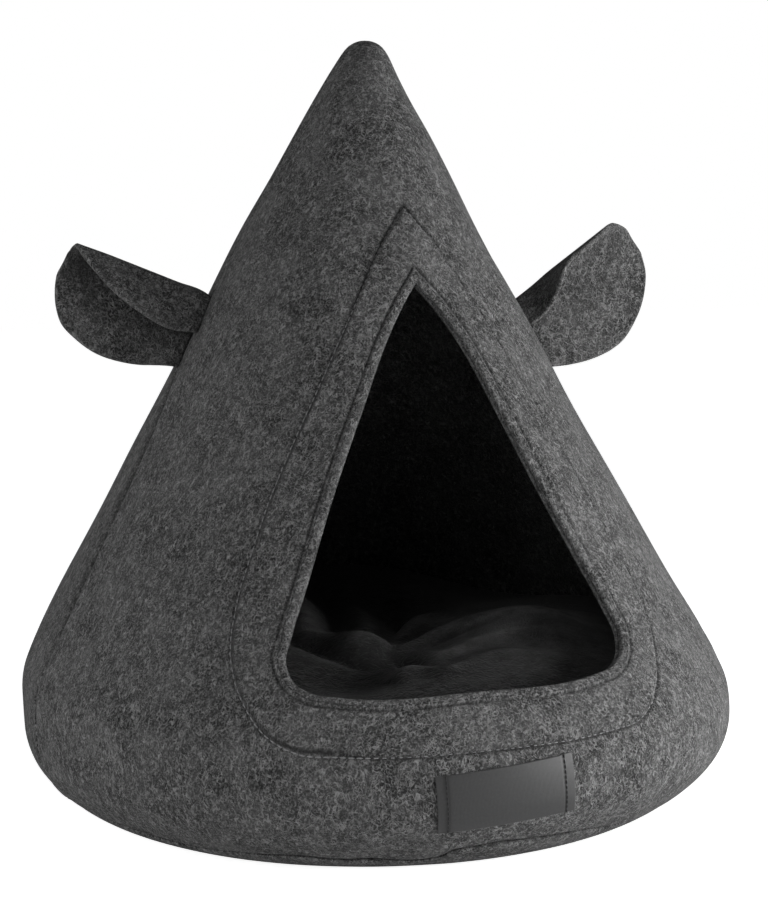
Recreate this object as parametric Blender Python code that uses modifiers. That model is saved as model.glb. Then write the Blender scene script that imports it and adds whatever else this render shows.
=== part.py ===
"""Felt cat cave: a tall felt cone with a doorway, two folded ears, a label and a filled cushion.

Metres, +Z up. The origin is on the floor under the middle of the round base, and the doorway faces -Y.
A place on the wall is given by its turn about the upright axis (0 at the middle of the doorway, growing
towards +X), its height, and its depth under the outer face of the felt.
"""
import math
from typing import NamedTuple

import bmesh
import bpy
import numpy as np

MM = 0.001

# ---- Felt and gaps ----
FELT = 3.0 * MM
FACING_FELT = 2.7 * MM
GAP = 0.35 * MM

# ---- Outline of the wall, as a turned profile ----
HEIGHT = 439.0 * MM
FOOT_RADIUS = 183.0 * MM          # where the bulging wall would meet the floor
FOOT_SPREAD = 1.61                # how fast the radius grows with height there
WIDEST_RADIUS = 215.0 * MM
WIDEST_HEIGHT = 42.0 * MM
CONE_START = 79.0 * MM            # the straight cone begins here
CONE_SLOPE = 0.548                # radius lost for each unit of height
CONE_POINT = 457.5 * MM           # height where the straight cone would come to a point
TIP_ROUNDING = 2.4 * MM
TIP_BLEND = 6.0 * MM              # the trims below fade out where the tip is thinner than this


class WallSection(NamedTuple):
    """How the soft wall departs from the plain profile at a height, in millimetres."""

    height: float
    shift: float                  # of its middle to the right
    trim: float                   # added to its radius


WALL_SECTIONS = (
    WallSection(0.0, 0.0, -0.8), WallSection(13.0, 0.0, -0.8), WallSection(33.0, 1.0, -1.1),
    WallSection(46.0, 0.9, -0.8), WallSection(58.0, -0.2, -0.8), WallSection(68.0, -2.4, -1.2),
    WallSection(80.0, -3.8, -0.8), WallSection(95.0, -4.5, -0.5), WallSection(115.0, -5.4, -1.0),
    WallSection(150.0, -5.9, -1.6), WallSection(190.0, -5.9, -2.2), WallSection(225.0, -5.9, -2.2),
    WallSection(260.0, -6.1, -1.0), WallSection(300.0, -6.3, -0.5), WallSection(335.0, -6.1, -0.3),
    WallSection(358.0, -4.9, -0.3), WallSection(385.0, -4.0, -0.2), WallSection(405.0, -3.6, -0.7),
    WallSection(420.0, -2.6, -0.85), WallSection(430.0, -1.5, -0.8), WallSection(439.0, -1.1, -0.8),
)

# ---- Base panel: a felt disc with its rim turned up to the foot of the wall ----
RIM_TOP = 11.2 * MM
RIM_START_RADIUS = 176.0 * MM     # where the disc's underside leaves the floor
WALL_FOOT = RIM_TOP + GAP
BASE_STEPS = 72


class RimPoint(NamedTuple):
    """Point on the rim's section: shares of the rim's run, measured inwards, and of its height."""

    inward: float
    height: float


RIM_UNDERSIDE = (RimPoint(0.22, 0.62), RimPoint(0.50, 0.25), RimPoint(0.76, 0.06), RimPoint(1.0, 0.0))
RIM_UPSIDE = (RimPoint(0.85, 0.0), RimPoint(0.42, 0.23))


# ---- Doorway and its facing: right halves of rounded triangles, from the peak round to the middle below ----
class OutlinePoint(NamedTuple):
    """Place on the wall seen from the front, in millimetres."""

    half_width: float
    height: float


DOOR_HALF = (
    OutlinePoint(0.0, 301.0), OutlinePoint(9.0, 290.0), OutlinePoint(20.0, 273.5), OutlinePoint(40.5, 232.0),
    OutlinePoint(61.0, 188.5), OutlinePoint(79.0, 149.5), OutlinePoint(90.0, 126.0), OutlinePoint(94.8, 112.0),
    OutlinePoint(92.0, 103.5), OutlinePoint(84.5, 98.6), OutlinePoint(72.0, 96.9), OutlinePoint(0.0, 96.8),
)
FACING_HALF = (                   # the facing's stitch line, about 28 mm outside the doorway
    OutlinePoint(0.0, 343.0), OutlinePoint(16.5, 322.0), OutlinePoint(32.5, 296.0), OutlinePoint(59.0, 248.0),
    OutlinePoint(82.0, 205.0), OutlinePoint(101.0, 166.0), OutlinePoint(114.5, 134.0), OutlinePoint(119.5, 111.0),
    OutlinePoint(117.0, 93.0), OutlinePoint(108.5, 78.0), OutlinePoint(94.0, 70.0), OutlinePoint(76.0, 69.0),
    OutlinePoint(0.0, 69.0),
)
OUTLINE_LEAN = -3.0 * MM          # how far both outlines lean to the left at the height of the tip
PEAK_SHIFT = 4.5 * MM             # how far both peaks sit to the right of the middle,
PEAK_SHIFT_START = 170.0 * MM     # growing from this height
PEAK_SHIFT_RISE = 130.0 * MM
SIDE_SEAM_TURN = math.radians(90.0)
# Heights of the rows of points down both panels' side seams, closest where the outline bends most.
TIP_HEIGHTS = (439.0, 437.6, 434.0, 428.0, 419.0)
FOOT_HEIGHTS = (79.0, 69.0, 60.0, 51.0, 42.0, 33.0, 25.0, 18.0)
CONE_STEPS = 12
TIP_STEPS = 4                                            # steps of half the front panel's border over the tip
FOOT_STEPS = 15                                          # and along the foot
SPREAD = (0.14, 0.28, 0.41, 0.54, 0.66, 0.77, 0.87, 0.95, 1.0)  # rows from the facing line out to the border
BACK_TURNS = 28

# ---- Label, sewn below the doorway ----
LABEL_WIDTH = 75.0 * MM
LABEL_HEIGHT = 30.5 * MM
LABEL_THICK = 1.2 * MM
LABEL_CENTRE_X = 9.5 * MM
LABEL_CENTRE_Z = 45.5 * MM
LABEL_LEAN = math.radians(3.4)
LABEL_COLUMNS = 11
LABEL_ROWS = 5


# ---- Ears: a petal each, laid along its fold ----
class EarSection(NamedTuple):
    """Cut of an ear's petal across its fold, in millimetres."""

    along: float
    lobe: float
    flap: float


class EarPose(NamedTuple):
    """How one ear is sewn on and folded: heights in millimetres, angles in degrees."""

    side: float                   # +1 on the right of the doorway, -1 on the left
    height: float                 # of the fold where it meets the wall
    rise: float                   # of the fold above level
    sweep: float                  # of the ear to the back
    droop: float                  # of the free end below the line of the fold
    turn_seam: float              # how far the flap is folded over at the seam,
    turn_middle: float            # at the middle
    turn_end: float               # and at the free end
    ease: float                   # share of the fold's length over which it leaves the wall's normal
    petal: tuple                  # EarSections from the seam to the free end


LEFT_PETAL = (
    EarSection(0.0, 47.2, 25.5), EarSection(13.3, 52.1, 30.6), EarSection(28.4, 56.4, 31.9),
    EarSection(45.0, 57.4, 29.0), EarSection(58.3, 53.9, 24.8), EarSection(68.7, 48.0, 18.7),
    EarSection(76.3, 39.0, 12.2), EarSection(80.1, 29.9, 7.5), EarSection(82.0, 22.0, 4.0),
    EarSection(82.5, 15.8, 2.4),
)
RIGHT_PETAL = (
    EarSection(0.0, 46.4, 19.7), EarSection(14.7, 53.5, 23.6), EarSection(31.5, 59.6, 27.4),
    EarSection(49.9, 61.5, 23.9), EarSection(64.6, 57.9, 13.5), EarSection(76.1, 51.5, 6.5),
    EarSection(84.5, 43.6, 3.5), EarSection(88.7, 36.0, 2.6), EarSection(90.8, 27.6, 2.4),
    EarSection(91.4, 20.2, 2.4),
)
EARS = {
    "ear_left": EarPose(-1.0, 289.2, 20.0, 10.8, 0.6, 163.0, 147.0, 128.0, 0.23, LEFT_PETAL),
    "ear_right": EarPose(1.0, 279.7, 31.7, 6.1, -1.2, 147.0, 78.2, 82.0, 0.29, RIGHT_PETAL),
}
EAR_SETBACK = 0.6 * MM            # from the wall's outer face to the ear's sewn edge
EAR_ROWS = 15
EAR_STRIPS = {"lobe": 7, "fold": 6, "flap": 4}
EAR_FOLD_RADIUS = (2.7 * MM, 7.0 * MM)                   # of the fold's middle line, at the seam and the free end
EAR_FOLD_LIMIT = 0.4              # the fold takes no more than this share of a lobe or flap
EAR_TIGHTEST = 1.9 * MM           # smallest radius that the felt's middle folds to
EAR_MIDDLE = 0.45                 # share of the fold's length where the middle turn is reached
EAR_DROOP_START = 0.72            # share of the fold's length where the free end begins to droop
EAR_CUP = math.radians(24.0)      # how far the lobe curls along its depth

# ---- Cushion ----
CUSHION_RADIUS = 203.0 * MM
CUSHION_WAIST = 42.0 * MM         # height of its widest ring
CUSHION_CROWN = 56.0 * MM         # from the waist up to the top
CUSHION_FLOOR = FELT + GAP
CUSHION_TURNS = 44


class Rumple(NamedTuple):
    """Soft hump or hollow in the cushion's top, in millimetres."""

    x: float
    y: float
    rise: float
    reach_x: float
    reach_y: float


CUSHION_RUMPLES = (
    Rumple(95.0, -40.0, 9.0, 58.0, 62.0), Rumple(-38.0, 8.0, 7.0, 42.0, 30.0),
    Rumple(-25.0, -115.0, -13.0, 30.0, 26.0), Rumple(-95.0, -70.0, 8.0, 32.0, 50.0),
    Rumple(25.0, -150.0, 4.0, 60.0, 22.0), Rumple(-20.0, 135.0, 9.0, 110.0, 55.0),
    Rumple(-15.0, -45.0, -7.0, 26.0, 40.0),
)


class CushionRing(NamedTuple):
    """Ring of the cushion: shares of its radius and of its height above or below the waist."""

    radius: float
    height: float


CROWN_RADII = (0.0, 0.14, 0.28, 0.42, 0.56, 0.68, 0.78, 0.86, 0.925, 0.97)
CROWN_FALL = (6.0, 0.55)          # powers that shape the crown between its middle and the waist
CUSHION_SIDE = (
    CushionRing(1.0, 0.0), CushionRing(0.978, -0.42), CushionRing(0.92, -0.78), CushionRing(0.856, -1.0),
    CushionRing(0.45, -1.0), CushionRing(0.0, -1.0),
)

# ---- Colours (linear) and finishes ----
FINISHES = {
    "felt": {"colour": (0.055, 0.055, 0.055, 1.0), "roughness": 0.95},
    "cushion": {"colour": (0.030, 0.030, 0.030, 1.0), "roughness": 0.85},
    "label": {"colour": (0.035, 0.035, 0.036, 1.0), "roughness": 0.60},
}


# ======== Scene helpers ========
def clear_scene():
    """Remove every object, so that the model is all there is."""
    for item in list(bpy.data.objects):
        bpy.data.objects.remove(item, do_unlink=True)


def make_collection(name):
    """Return a new collection linked to the scene."""
    collection = bpy.data.collections.new(name)
    bpy.context.scene.collection.children.link(collection)
    return collection


def make_finish(name):
    """Return a plain Principled material of the named finish."""
    values = FINISHES[name]
    material = bpy.data.materials.new(name)
    material.use_nodes = True
    shader = material.node_tree.nodes["Principled BSDF"]
    shader.inputs["Base Color"].default_value = values["colour"]
    shader.inputs["Roughness"].default_value = values["roughness"]
    shader.inputs["Metallic"].default_value = 0.0
    return material


def add_object(name, mesh, finish, collection):
    """Link a mesh as a named object with its finish and smooth shading."""
    item = bpy.data.objects.new(name, mesh)
    mesh.materials.append(finish)
    mesh.shade_smooth()
    mesh.set_sharp_from_angle(angle=math.radians(50.0))
    collection.objects.link(item)
    return item


# ======== Curves and the wall's profile ========
def hermite(t, start, start_slope, end, end_slope):
    """Cubic from start to end as t runs from 0 to 1, with the slopes given per unit of t."""
    return (
        (2 * t**3 - 3 * t**2 + 1) * start + (t**3 - 2 * t**2 + t) * start_slope
        + (3 * t**2 - 2 * t**3) * end + (t**3 - t**2) * end_slope
    )


def smooth_step(t):
    """Ease from 0 to 1 as t does."""
    t = np.clip(t, 0.0, 1.0)
    return t * t * (3.0 - 2.0 * t)


def spline_through(points, steps):
    """Smooth open curve through the points, in even steps of its length."""
    points = np.asarray(points, float)
    knots = np.r_[0.0, np.cumsum(np.linalg.norm(np.diff(points, axis=0), axis=1))]
    slopes = np.gradient(points, knots, axis=0, edge_order=1)
    fine = np.linspace(0.0, knots[-1], 40 * len(points))
    span = np.clip(np.searchsorted(knots, fine, side="right") - 1, 0, len(points) - 2)
    width = (knots[span + 1] - knots[span])[:, None]
    t = (fine - knots[span])[:, None] / width
    curve = hermite(t, points[span], slopes[span] * width, points[span + 1], slopes[span + 1] * width)
    run = np.r_[0.0, np.cumsum(np.linalg.norm(np.diff(curve, axis=0), axis=1))]
    even = np.linspace(0.0, run[-1], steps + 1)
    return np.stack([np.interp(even, run, curve[:, axis]) for axis in range(curve.shape[1])], axis=1)


SECTION_CURVE = spline_through(np.asarray(WALL_SECTIONS) * MM, 400)   # height, shift and trim


def wall_radius(height):
    """Outer radius of the wall: a bulging foot, a straight cone and a blunt tip, each trimmed by the sections."""
    height = np.asarray(height, float)
    foot = hermite(height / WIDEST_HEIGHT, FOOT_RADIUS, FOOT_SPREAD * WIDEST_HEIGHT, WIDEST_RADIUS, 0.0)
    rise = CONE_START - WIDEST_HEIGHT
    cone_edge = CONE_SLOPE * (CONE_POINT - CONE_START)
    shoulder = hermite((height - WIDEST_HEIGHT) / rise, WIDEST_RADIUS, 0.0, cone_edge, -CONE_SLOPE * rise)
    drop = np.maximum(HEIGHT - height, 0.0)
    cone = CONE_SLOPE * (CONE_POINT - height) * np.sqrt(1.0 - np.exp(-drop / TIP_ROUNDING))
    plain = np.where(height < WIDEST_HEIGHT, foot, np.where(height < CONE_START, shoulder, cone))
    trim = np.interp(height, SECTION_CURVE[:, 0], SECTION_CURVE[:, 2])
    return plain + trim * np.minimum(plain / TIP_BLEND, 1.0)


def wall_normal(height):
    """Outward normal of the profile, as its outward and its upward part."""
    step = 0.01 * MM
    upper = np.minimum(np.asarray(height, float) + step, HEIGHT)
    lower = upper - 2.0 * step
    slope = (wall_radius(upper) - wall_radius(lower)) / (upper - lower)
    length = np.hypot(1.0, slope)
    return 1.0 / length, -slope / length


def wall_shift(height):
    """Sideways place of the wall's middle at a height."""
    return np.interp(height, SECTION_CURVE[:, 0], SECTION_CURVE[:, 1])


def wall_point(turn, height, depth):
    """Point under the wall's outer face, for arrays of turns and heights."""
    outward, upward = wall_normal(height)
    radius = np.maximum(wall_radius(height) - depth * outward, 0.0)
    x = radius * np.sin(turn) + wall_shift(height)
    return np.stack([x, -radius * np.cos(turn), height - depth * upward], axis=-1)


def level_cut(points, turn, height, depth):
    """Bring the wall's lowest row to one height, so that the wall stands squarely on the rim below."""
    outward, _ = wall_normal(height)
    radius = wall_radius(height) - depth / outward
    points[..., 0] = radius * np.sin(turn) + wall_shift(height)
    points[..., 1] = -radius * np.cos(turn)
    points[..., 2] = height
    return points


# ======== Sheets of felt ========
def sheet_mesh(name, face, back, wrap):
    """Closed mesh between two grids of points.

    face and back hold rows by columns of points. Where wrap is true the last column meets the first.
    """
    rows, columns = face.shape[:2]
    vertices = np.concatenate([face.reshape(-1, 3), back.reshape(-1, 3)])
    offset = rows * columns
    index = np.arange(offset).reshape(rows, columns)
    if wrap:
        index = np.concatenate([index, index[:, :1]], axis=1)
    quads = np.stack([index[:-1, :-1], index[:-1, 1:], index[1:, 1:], index[1:, :-1]], axis=-1).reshape(-1, 4)
    edges = [index[0], index[-1][::-1]]
    if not wrap:
        edges += [index[:, 0][::-1], index[:, -1]]
    rims = [np.stack([line[:-1], line[:-1] + offset, line[1:] + offset, line[1:]], axis=-1) for line in edges]
    faces = np.concatenate([quads, quads[:, ::-1] + offset] + rims)
    mesh = bpy.data.meshes.new(name)
    mesh.from_pydata(vertices.tolist(), [], faces.tolist())
    work = bmesh.new()
    work.from_mesh(mesh)
    bmesh.ops.remove_doubles(work, verts=work.verts, dist=0.01 * MM)
    bmesh.ops.dissolve_degenerate(work, edges=work.edges, dist=0.005 * MM)
    bmesh.ops.recalc_face_normals(work, faces=work.faces)
    work.to_mesh(mesh)
    work.free()
    return mesh


def seam_heights():
    """Heights of the rows down a side seam, from the tip to the foot."""
    cone = np.linspace(TIP_HEIGHTS[-1], FOOT_HEIGHTS[0], CONE_STEPS + 1)[1:-1]
    return np.r_[TIP_HEIGHTS, cone, FOOT_HEIGHTS, WALL_FOOT / MM] * MM


def mirror_half(across, height):
    """Close a half outline with its mirror image, without doubling its two ends."""
    return np.stack([np.r_[across, -across[-2:0:-1]], np.r_[height, height[-2:0:-1]]], axis=-1)


def turn_at(x, height):
    """Turn of the wall's point at a place across and a height."""
    return np.arcsin((x - wall_shift(height)) / wall_radius(height))


def whole_outline(half):
    """Turns and heights round a closed outline whose right half is given from its peak down."""
    steps = TIP_STEPS + len(seam_heights()) - 1 + FOOT_STEPS
    right = spline_through(np.asarray(half) * MM, steps)
    outline = mirror_half(right[:, 0], right[:, 1])
    x, height = outline[:, 0], outline[:, 1]
    x = x + PEAK_SHIFT * smooth_step((height - PEAK_SHIFT_START) / PEAK_SHIFT_RISE)
    x = x + OUTLINE_LEAN * (height / HEIGHT) ** 2
    return np.stack([turn_at(x, height), height], axis=-1)


def panel_border():
    """Turns and heights round the front panel: over the tip, down the side seam, along the foot."""
    side = seam_heights()
    over = np.linspace(0.0, SIDE_SEAM_TURN, TIP_STEPS, endpoint=False)
    along = np.linspace(SIDE_SEAM_TURN, 0.0, FOOT_STEPS + 1)[1:]
    turn = np.r_[over, np.full(len(side), SIDE_SEAM_TURN), along]
    height = np.r_[np.full(TIP_STEPS, side[0]), side, np.full(FOOT_STEPS, side[-1])]
    return mirror_half(turn, height)


def front_rows():
    """Rows of (turn, height) from the doorway's edge out to the front panel's border."""
    door, facing, border = whole_outline(DOOR_HALF), whole_outline(FACING_HALF), panel_border()
    rows = [door, 0.5 * (door + facing), facing]
    rows += [facing + (border - facing) * share for share in SPREAD]
    return np.stack(rows)


def build_front_panel(finish, collection):
    """Front half of the wall, lofted from the doorway to the seams, the tip and the foot."""
    rows = front_rows()
    turn, height = rows[..., 0], rows[..., 1]
    face, back = wall_point(turn, height, 0.0), wall_point(turn, height, FELT)
    foot = np.isclose(height[-1], WALL_FOOT)
    back[-1, foot] = level_cut(back[-1, foot], turn[-1, foot], WALL_FOOT, FELT)
    shift = np.array([0.0, -0.5 * GAP, 0.0])
    add_object("front_panel", sheet_mesh("front_panel", face + shift, back + shift, True), finish, collection)


def build_door_facing(finish, collection):
    """Ring of felt behind the doorway's edge, on the front panel's own rows."""
    rows = front_rows()[:3]
    shift = np.array([0.0, -0.5 * GAP, 0.0])
    face = wall_point(rows[..., 0], rows[..., 1], FELT + GAP) + shift
    back = wall_point(rows[..., 0], rows[..., 1], FELT + GAP + FACING_FELT) + shift
    add_object("door_facing", sheet_mesh("door_facing", face, back, True), finish, collection)


def build_back_panel(finish, collection):
    """Back half of the wall, from one side seam round to the other."""
    turns = np.linspace(SIDE_SEAM_TURN, 2.0 * math.pi - SIDE_SEAM_TURN, BACK_TURNS + 1)
    height, turn = np.meshgrid(seam_heights(), turns, indexing="ij")
    face, back = wall_point(turn, height, 0.0), wall_point(turn, height, FELT)
    back[-1] = level_cut(back[-1], turn[-1], WALL_FOOT, FELT)
    shift = np.array([0.0, 0.5 * GAP, 0.0])
    add_object("back_panel", sheet_mesh("back_panel", face + shift, back + shift, False), finish, collection)


def build_base_panel(finish, collection):
    """Felt disc with its rim turned up, as a turned profile."""
    outward, _ = wall_normal(RIM_TOP)
    outer = float(wall_radius(RIM_TOP))
    inner = outer - FELT / float(outward)
    run = outer - RIM_START_RADIUS
    profile = [(0.0, FELT)]
    profile += [(inner - point.inward * run, FELT + point.height * (RIM_TOP - FELT)) for point in RIM_UPSIDE]
    profile += [(inner, RIM_TOP), (outer, RIM_TOP)]
    profile += [(outer - point.inward * run, point.height * RIM_TOP) for point in RIM_UNDERSIDE]
    profile.append((0.0, 0.0))
    mesh = bpy.data.meshes.new("base_panel")
    edges = [(i, i + 1) for i in range(len(profile) - 1)]
    mesh.from_pydata([(radius, 0.0, height) for radius, height in profile], edges, [])
    item = add_object("base_panel", mesh, finish, collection)
    turned = item.modifiers.new("turned", "SCREW")
    turned.angle = 2.0 * math.pi
    turned.steps = turned.render_steps = BASE_STEPS
    turned.use_merge_vertices = True
    turned.merge_threshold = 0.01 * MM


# ======== Ears ========
def petal_at(along, petal):
    """Depths of the ear's lobe and flap at places along its fold."""
    smooth = spline_through(np.asarray(petal) * MM, 400)
    return np.interp(along, smooth[:, 0], smooth[:, 1]), np.interp(along, smooth[:, 0], smooth[:, 2])


def turn_along(share, pose):
    """Angle that the flap is turned over, from the seam through the middle to the free end."""
    at_seam, at_middle, at_end = np.radians([pose.turn_seam, pose.turn_middle, pose.turn_end])
    early = at_seam + (at_middle - at_seam) * smooth_step(share / EAR_MIDDLE)
    return early + (at_end - at_middle) * smooth_step((share - EAR_MIDDLE) / (1.0 - EAR_MIDDLE))


def ear_section(lobe, flap, turn, fold_radius):
    """One cross-section of an ear: up the lobe, round the fold and out along the flap.

    Returns the section's points as (up, forward), with the top of the lobe at (0, 0).
    """
    bend = min(0.5 * fold_radius * turn, EAR_FOLD_LIMIT * lobe, EAR_FOLD_LIMIT * flap)
    turn = min(turn, 2.0 * bend / EAR_TIGHTEST)
    strips = [
        np.linspace(-lobe, -bend, EAR_STRIPS["lobe"] + 1), np.linspace(-bend, bend, EAR_STRIPS["fold"] + 1)[1:],
        np.linspace(bend, flap, EAR_STRIPS["flap"] + 1)[1:],
    ]
    place = np.concatenate(strips)
    middle = 0.5 * (place[1:] + place[:-1])
    lean = turn * np.clip((middle + bend) / (2.0 * bend), 0.0, 1.0)
    lean = lean - EAR_CUP * np.clip(-(middle + bend) / lobe, 0.0, 1.0)
    step = np.diff(place)
    up = np.r_[0.0, np.cumsum(step * np.cos(lean))]
    forward = np.r_[0.0, np.cumsum(step * np.sin(lean))]
    top = EAR_STRIPS["lobe"]
    return np.stack([up - up[top], forward - forward[top]], axis=-1)


def ear_sheet(pose):
    """Middle surface of a folded ear, as rows from the seam out to the free end."""
    share = np.sin(0.5 * math.pi * np.arange(EAR_ROWS + 1) / EAR_ROWS)
    length = pose.petal[-1].along * MM
    along = length * share
    lobe, flap = petal_at(along, pose.petal)
    turn = turn_along(share, pose)
    fold_radius = EAR_FOLD_RADIUS[0] + (EAR_FOLD_RADIUS[1] - EAR_FOLD_RADIUS[0]) * share
    sections = np.stack([ear_section(*values) for values in zip(lobe, flap, turn, fold_radius)])

    height = pose.height * MM
    outward, upward = (float(part) for part in wall_normal(height))
    seam_up = np.array([-pose.side * upward, 0.0, outward])      # up the seam, along the cone
    out = np.array([pose.side * outward, 0.0, upward])           # straight out of the wall
    forward = np.array([0.0, -1.0, 0.0])
    start = wall_point(np.array(pose.side * SIDE_SEAM_TURN), np.array(height), -EAR_SETBACK)
    tilt = math.radians(pose.rise) - math.atan2(upward, outward)
    swing = math.radians(pose.sweep)
    # Away from the seam the fold leaves the wall's normal for its own rise and sweeps to the back.
    ease = along * smooth_step(share / pose.ease)
    droop = smooth_step((share - EAR_DROOP_START) / (1.0 - EAR_DROOP_START))
    lift = ease * math.tan(tilt) - pose.droop * MM * droop
    behind = ease * math.tan(swing) + EAR_FOLD_RADIUS[0]
    spine = start + along[:, None] * out + lift[:, None] * seam_up - behind[:, None] * forward
    return spine[:, None, :] + sections[..., :1] * seam_up + sections[..., 1:] * forward


def build_ear(name, finish, collection):
    """Folded felt petal, half its thickness to each side of its middle surface."""
    middle = ear_sheet(EARS[name])
    along, across = np.gradient(middle, axis=0), np.gradient(middle, axis=1)
    normal = np.cross(along, across)
    normal /= np.linalg.norm(normal, axis=-1, keepdims=True)
    face, back = middle + 0.5 * FELT * normal, middle - 0.5 * FELT * normal
    add_object(name, sheet_mesh(name, face, back, False), finish, collection)


# ======== Cushion and label ========
def cushion_profile():
    """Radius share and height share of the cushion's section, from the crown round to its flat seat."""
    radius_power, height_power = CROWN_FALL
    crown = [(radius, (1.0 - radius**radius_power) ** height_power) for radius in CROWN_RADII]
    return np.array(crown + list(CUSHION_SIDE))


def build_cushion(finish, collection):
    """Round filled cushion with rumples over its top, flat where it lies on the base."""
    profile = cushion_profile()
    turn = np.linspace(0.0, 2.0 * math.pi, CUSHION_TURNS, endpoint=False)
    radius = CUSHION_RADIUS * profile[:, 0]
    drop = CUSHION_WAIST - CUSHION_FLOOR
    height = CUSHION_WAIST + np.where(profile[:, 1] > 0.0, CUSHION_CROWN, drop) * profile[:, 1]
    grid = np.stack([
        radius[:, None] * np.sin(turn), -radius[:, None] * np.cos(turn),
        np.repeat(height[:, None], CUSHION_TURNS, axis=1),
    ], axis=-1)
    weight = np.clip(profile[:, 1], 0.0, 1.0)[:, None]
    for x, y, rise, reach_x, reach_y in np.asarray(CUSHION_RUMPLES) * MM:
        distance = ((grid[..., 0] - x) / reach_x) ** 2 + ((grid[..., 1] - y) / reach_y) ** 2
        grid[..., 2] += weight * rise * np.exp(-distance)
    vertices = grid.reshape(-1, 3)
    index = np.arange(len(vertices)).reshape(len(profile), CUSHION_TURNS)
    index = np.concatenate([index, index[:, :1]], axis=1)
    quads = np.stack([index[:-1, :-1], index[1:, :-1], index[1:, 1:], index[:-1, 1:]], axis=-1).reshape(-1, 4)
    mesh = bpy.data.meshes.new("cushion")
    mesh.from_pydata(vertices.tolist(), [], quads.tolist())
    work = bmesh.new()
    work.from_mesh(mesh)
    bmesh.ops.remove_doubles(work, verts=work.verts, dist=0.01 * MM)
    bmesh.ops.recalc_face_normals(work, faces=work.faces)
    work.to_mesh(mesh)
    work.free()
    add_object("cushion", mesh, finish, collection)


def build_label(finish, collection):
    """Woven label lying on the front panel."""
    across = np.linspace(-0.5, 0.5, LABEL_COLUMNS) * LABEL_WIDTH
    up = np.linspace(-0.5, 0.5, LABEL_ROWS) * LABEL_HEIGHT
    across, up = np.meshgrid(across, up)
    x = LABEL_CENTRE_X + across * math.cos(LABEL_LEAN) - up * math.sin(LABEL_LEAN)
    height = LABEL_CENTRE_Z + across * math.sin(LABEL_LEAN) + up * math.cos(LABEL_LEAN)
    turn = turn_at(x, height)
    shift = np.array([0.0, -0.5 * GAP, 0.0])
    back = wall_point(turn, height, -GAP) + shift
    face = wall_point(turn, height, -GAP - LABEL_THICK) + shift
    add_object("label", sheet_mesh("label", face, back, False), finish, collection)


def main():
    """Build every piece of the cave."""
    clear_scene()
    collection = make_collection("felt_cave")
    felt, plush, woven = make_finish("felt"), make_finish("cushion"), make_finish("label")
    build_front_panel(felt, collection)
    build_back_panel(felt, collection)
    build_base_panel(felt, collection)
    build_door_facing(felt, collection)
    for name in EARS:
        build_ear(name, felt, collection)
    build_cushion(plush, collection)
    build_label(woven, collection)


main()
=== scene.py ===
"""Felt cat cave, dressed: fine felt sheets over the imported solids, a rumpled plush cushion, a bare
ribbon label, seams and stitches, and a pale studio.

Metres, +Z up, the doorway faces -Y. A place on the wall is its turn about the upright axis (0 in
the middle of the doorway, growing towards +X), its height, and its depth under the outer face.
"""
from __future__ import annotations

import logging
import math
from dataclasses import dataclass, field
from enum import Enum
from functools import lru_cache, reduce
from typing import NamedTuple

import bmesh
import bpy
import numpy as np
from bpy.types import ID, Material, Mesh, Node, NodeOutputs, NodeSocket, NodeTree, Object
from mathutils import Matrix, Quaternion, Vector


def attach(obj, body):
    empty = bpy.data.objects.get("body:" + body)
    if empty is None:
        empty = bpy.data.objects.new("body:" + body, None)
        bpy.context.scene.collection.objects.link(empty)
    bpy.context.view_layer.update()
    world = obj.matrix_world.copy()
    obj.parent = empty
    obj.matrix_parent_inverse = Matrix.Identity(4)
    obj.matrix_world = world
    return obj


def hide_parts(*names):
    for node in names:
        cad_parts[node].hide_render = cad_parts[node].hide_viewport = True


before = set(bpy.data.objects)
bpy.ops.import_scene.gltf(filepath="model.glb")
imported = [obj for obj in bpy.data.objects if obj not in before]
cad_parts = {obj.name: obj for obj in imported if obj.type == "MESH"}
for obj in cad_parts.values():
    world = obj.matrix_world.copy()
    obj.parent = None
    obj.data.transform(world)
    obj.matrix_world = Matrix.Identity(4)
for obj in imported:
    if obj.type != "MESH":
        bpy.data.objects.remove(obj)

MM = 0.001
FELT = 3.0 * MM
MERGE = 0.004 * MM                    # points of a sheet nearer than this become one
FULL_TURN = 2.0 * math.pi
TABLE_STEPS = 400                     # steps of the smooth curve through a table
PROFILE_STEPS = 4000                  # places on which the wall's profile is measured
LOG = logging.getLogger("cat_cave")
Array = np.ndarray


class Slot(Enum):
    """Material slots of the record."""

    FELT = "felt"
    CUSHION = "cushion"
    LABEL = "label"


class Held(Enum):
    """How a piece of cloth is held."""

    STRETCHED = "stretched"
    LAID = "laid"
    FOLDED = "folded"


class Side(Enum):
    """Side of the doorway, as the sign of its x."""

    LEFT = -1.0
    RIGHT = 1.0


# ======== Curves ========
def hermite(t: Array, start: Array, start_slope: Array, end: Array, end_slope: Array) -> Array:
    """Cubic from start to end as t runs from 0 to 1, with the slopes given per unit of t.

    Args:
        t: share of the way, from 0 to 1.
        start: value at 0.
        start_slope: slope at 0.
        end: value at 1.
        end_slope: slope at 1.

    Returns:
        Value at each share.
    """
    return (
        (2 * t**3 - 3 * t**2 + 1) * start + (t**3 - 2 * t**2 + t) * start_slope
        + (3 * t**2 - 2 * t**3) * end + (t**3 - t**2) * end_slope
    )


def smooth_step(t: Array) -> Array:
    """Ease from 0 to 1 as t does: 3t^2 - 2t^3."""
    t = np.clip(t, 0.0, 1.0)
    return t * t * (3.0 - 2.0 * t)


def ease(value: Array, start: Array, reach: float) -> Array:
    """Smooth step from 0 at the start to 1 a reach further on, or further back if negative."""
    return smooth_step((value - start) / reach)


def bell(distance: Array, reach: float) -> Array:
    """Fall from 1 to both sides of 0: exp(-(distance / reach)^2)."""
    return np.exp(-((distance / reach) ** 2))


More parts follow.
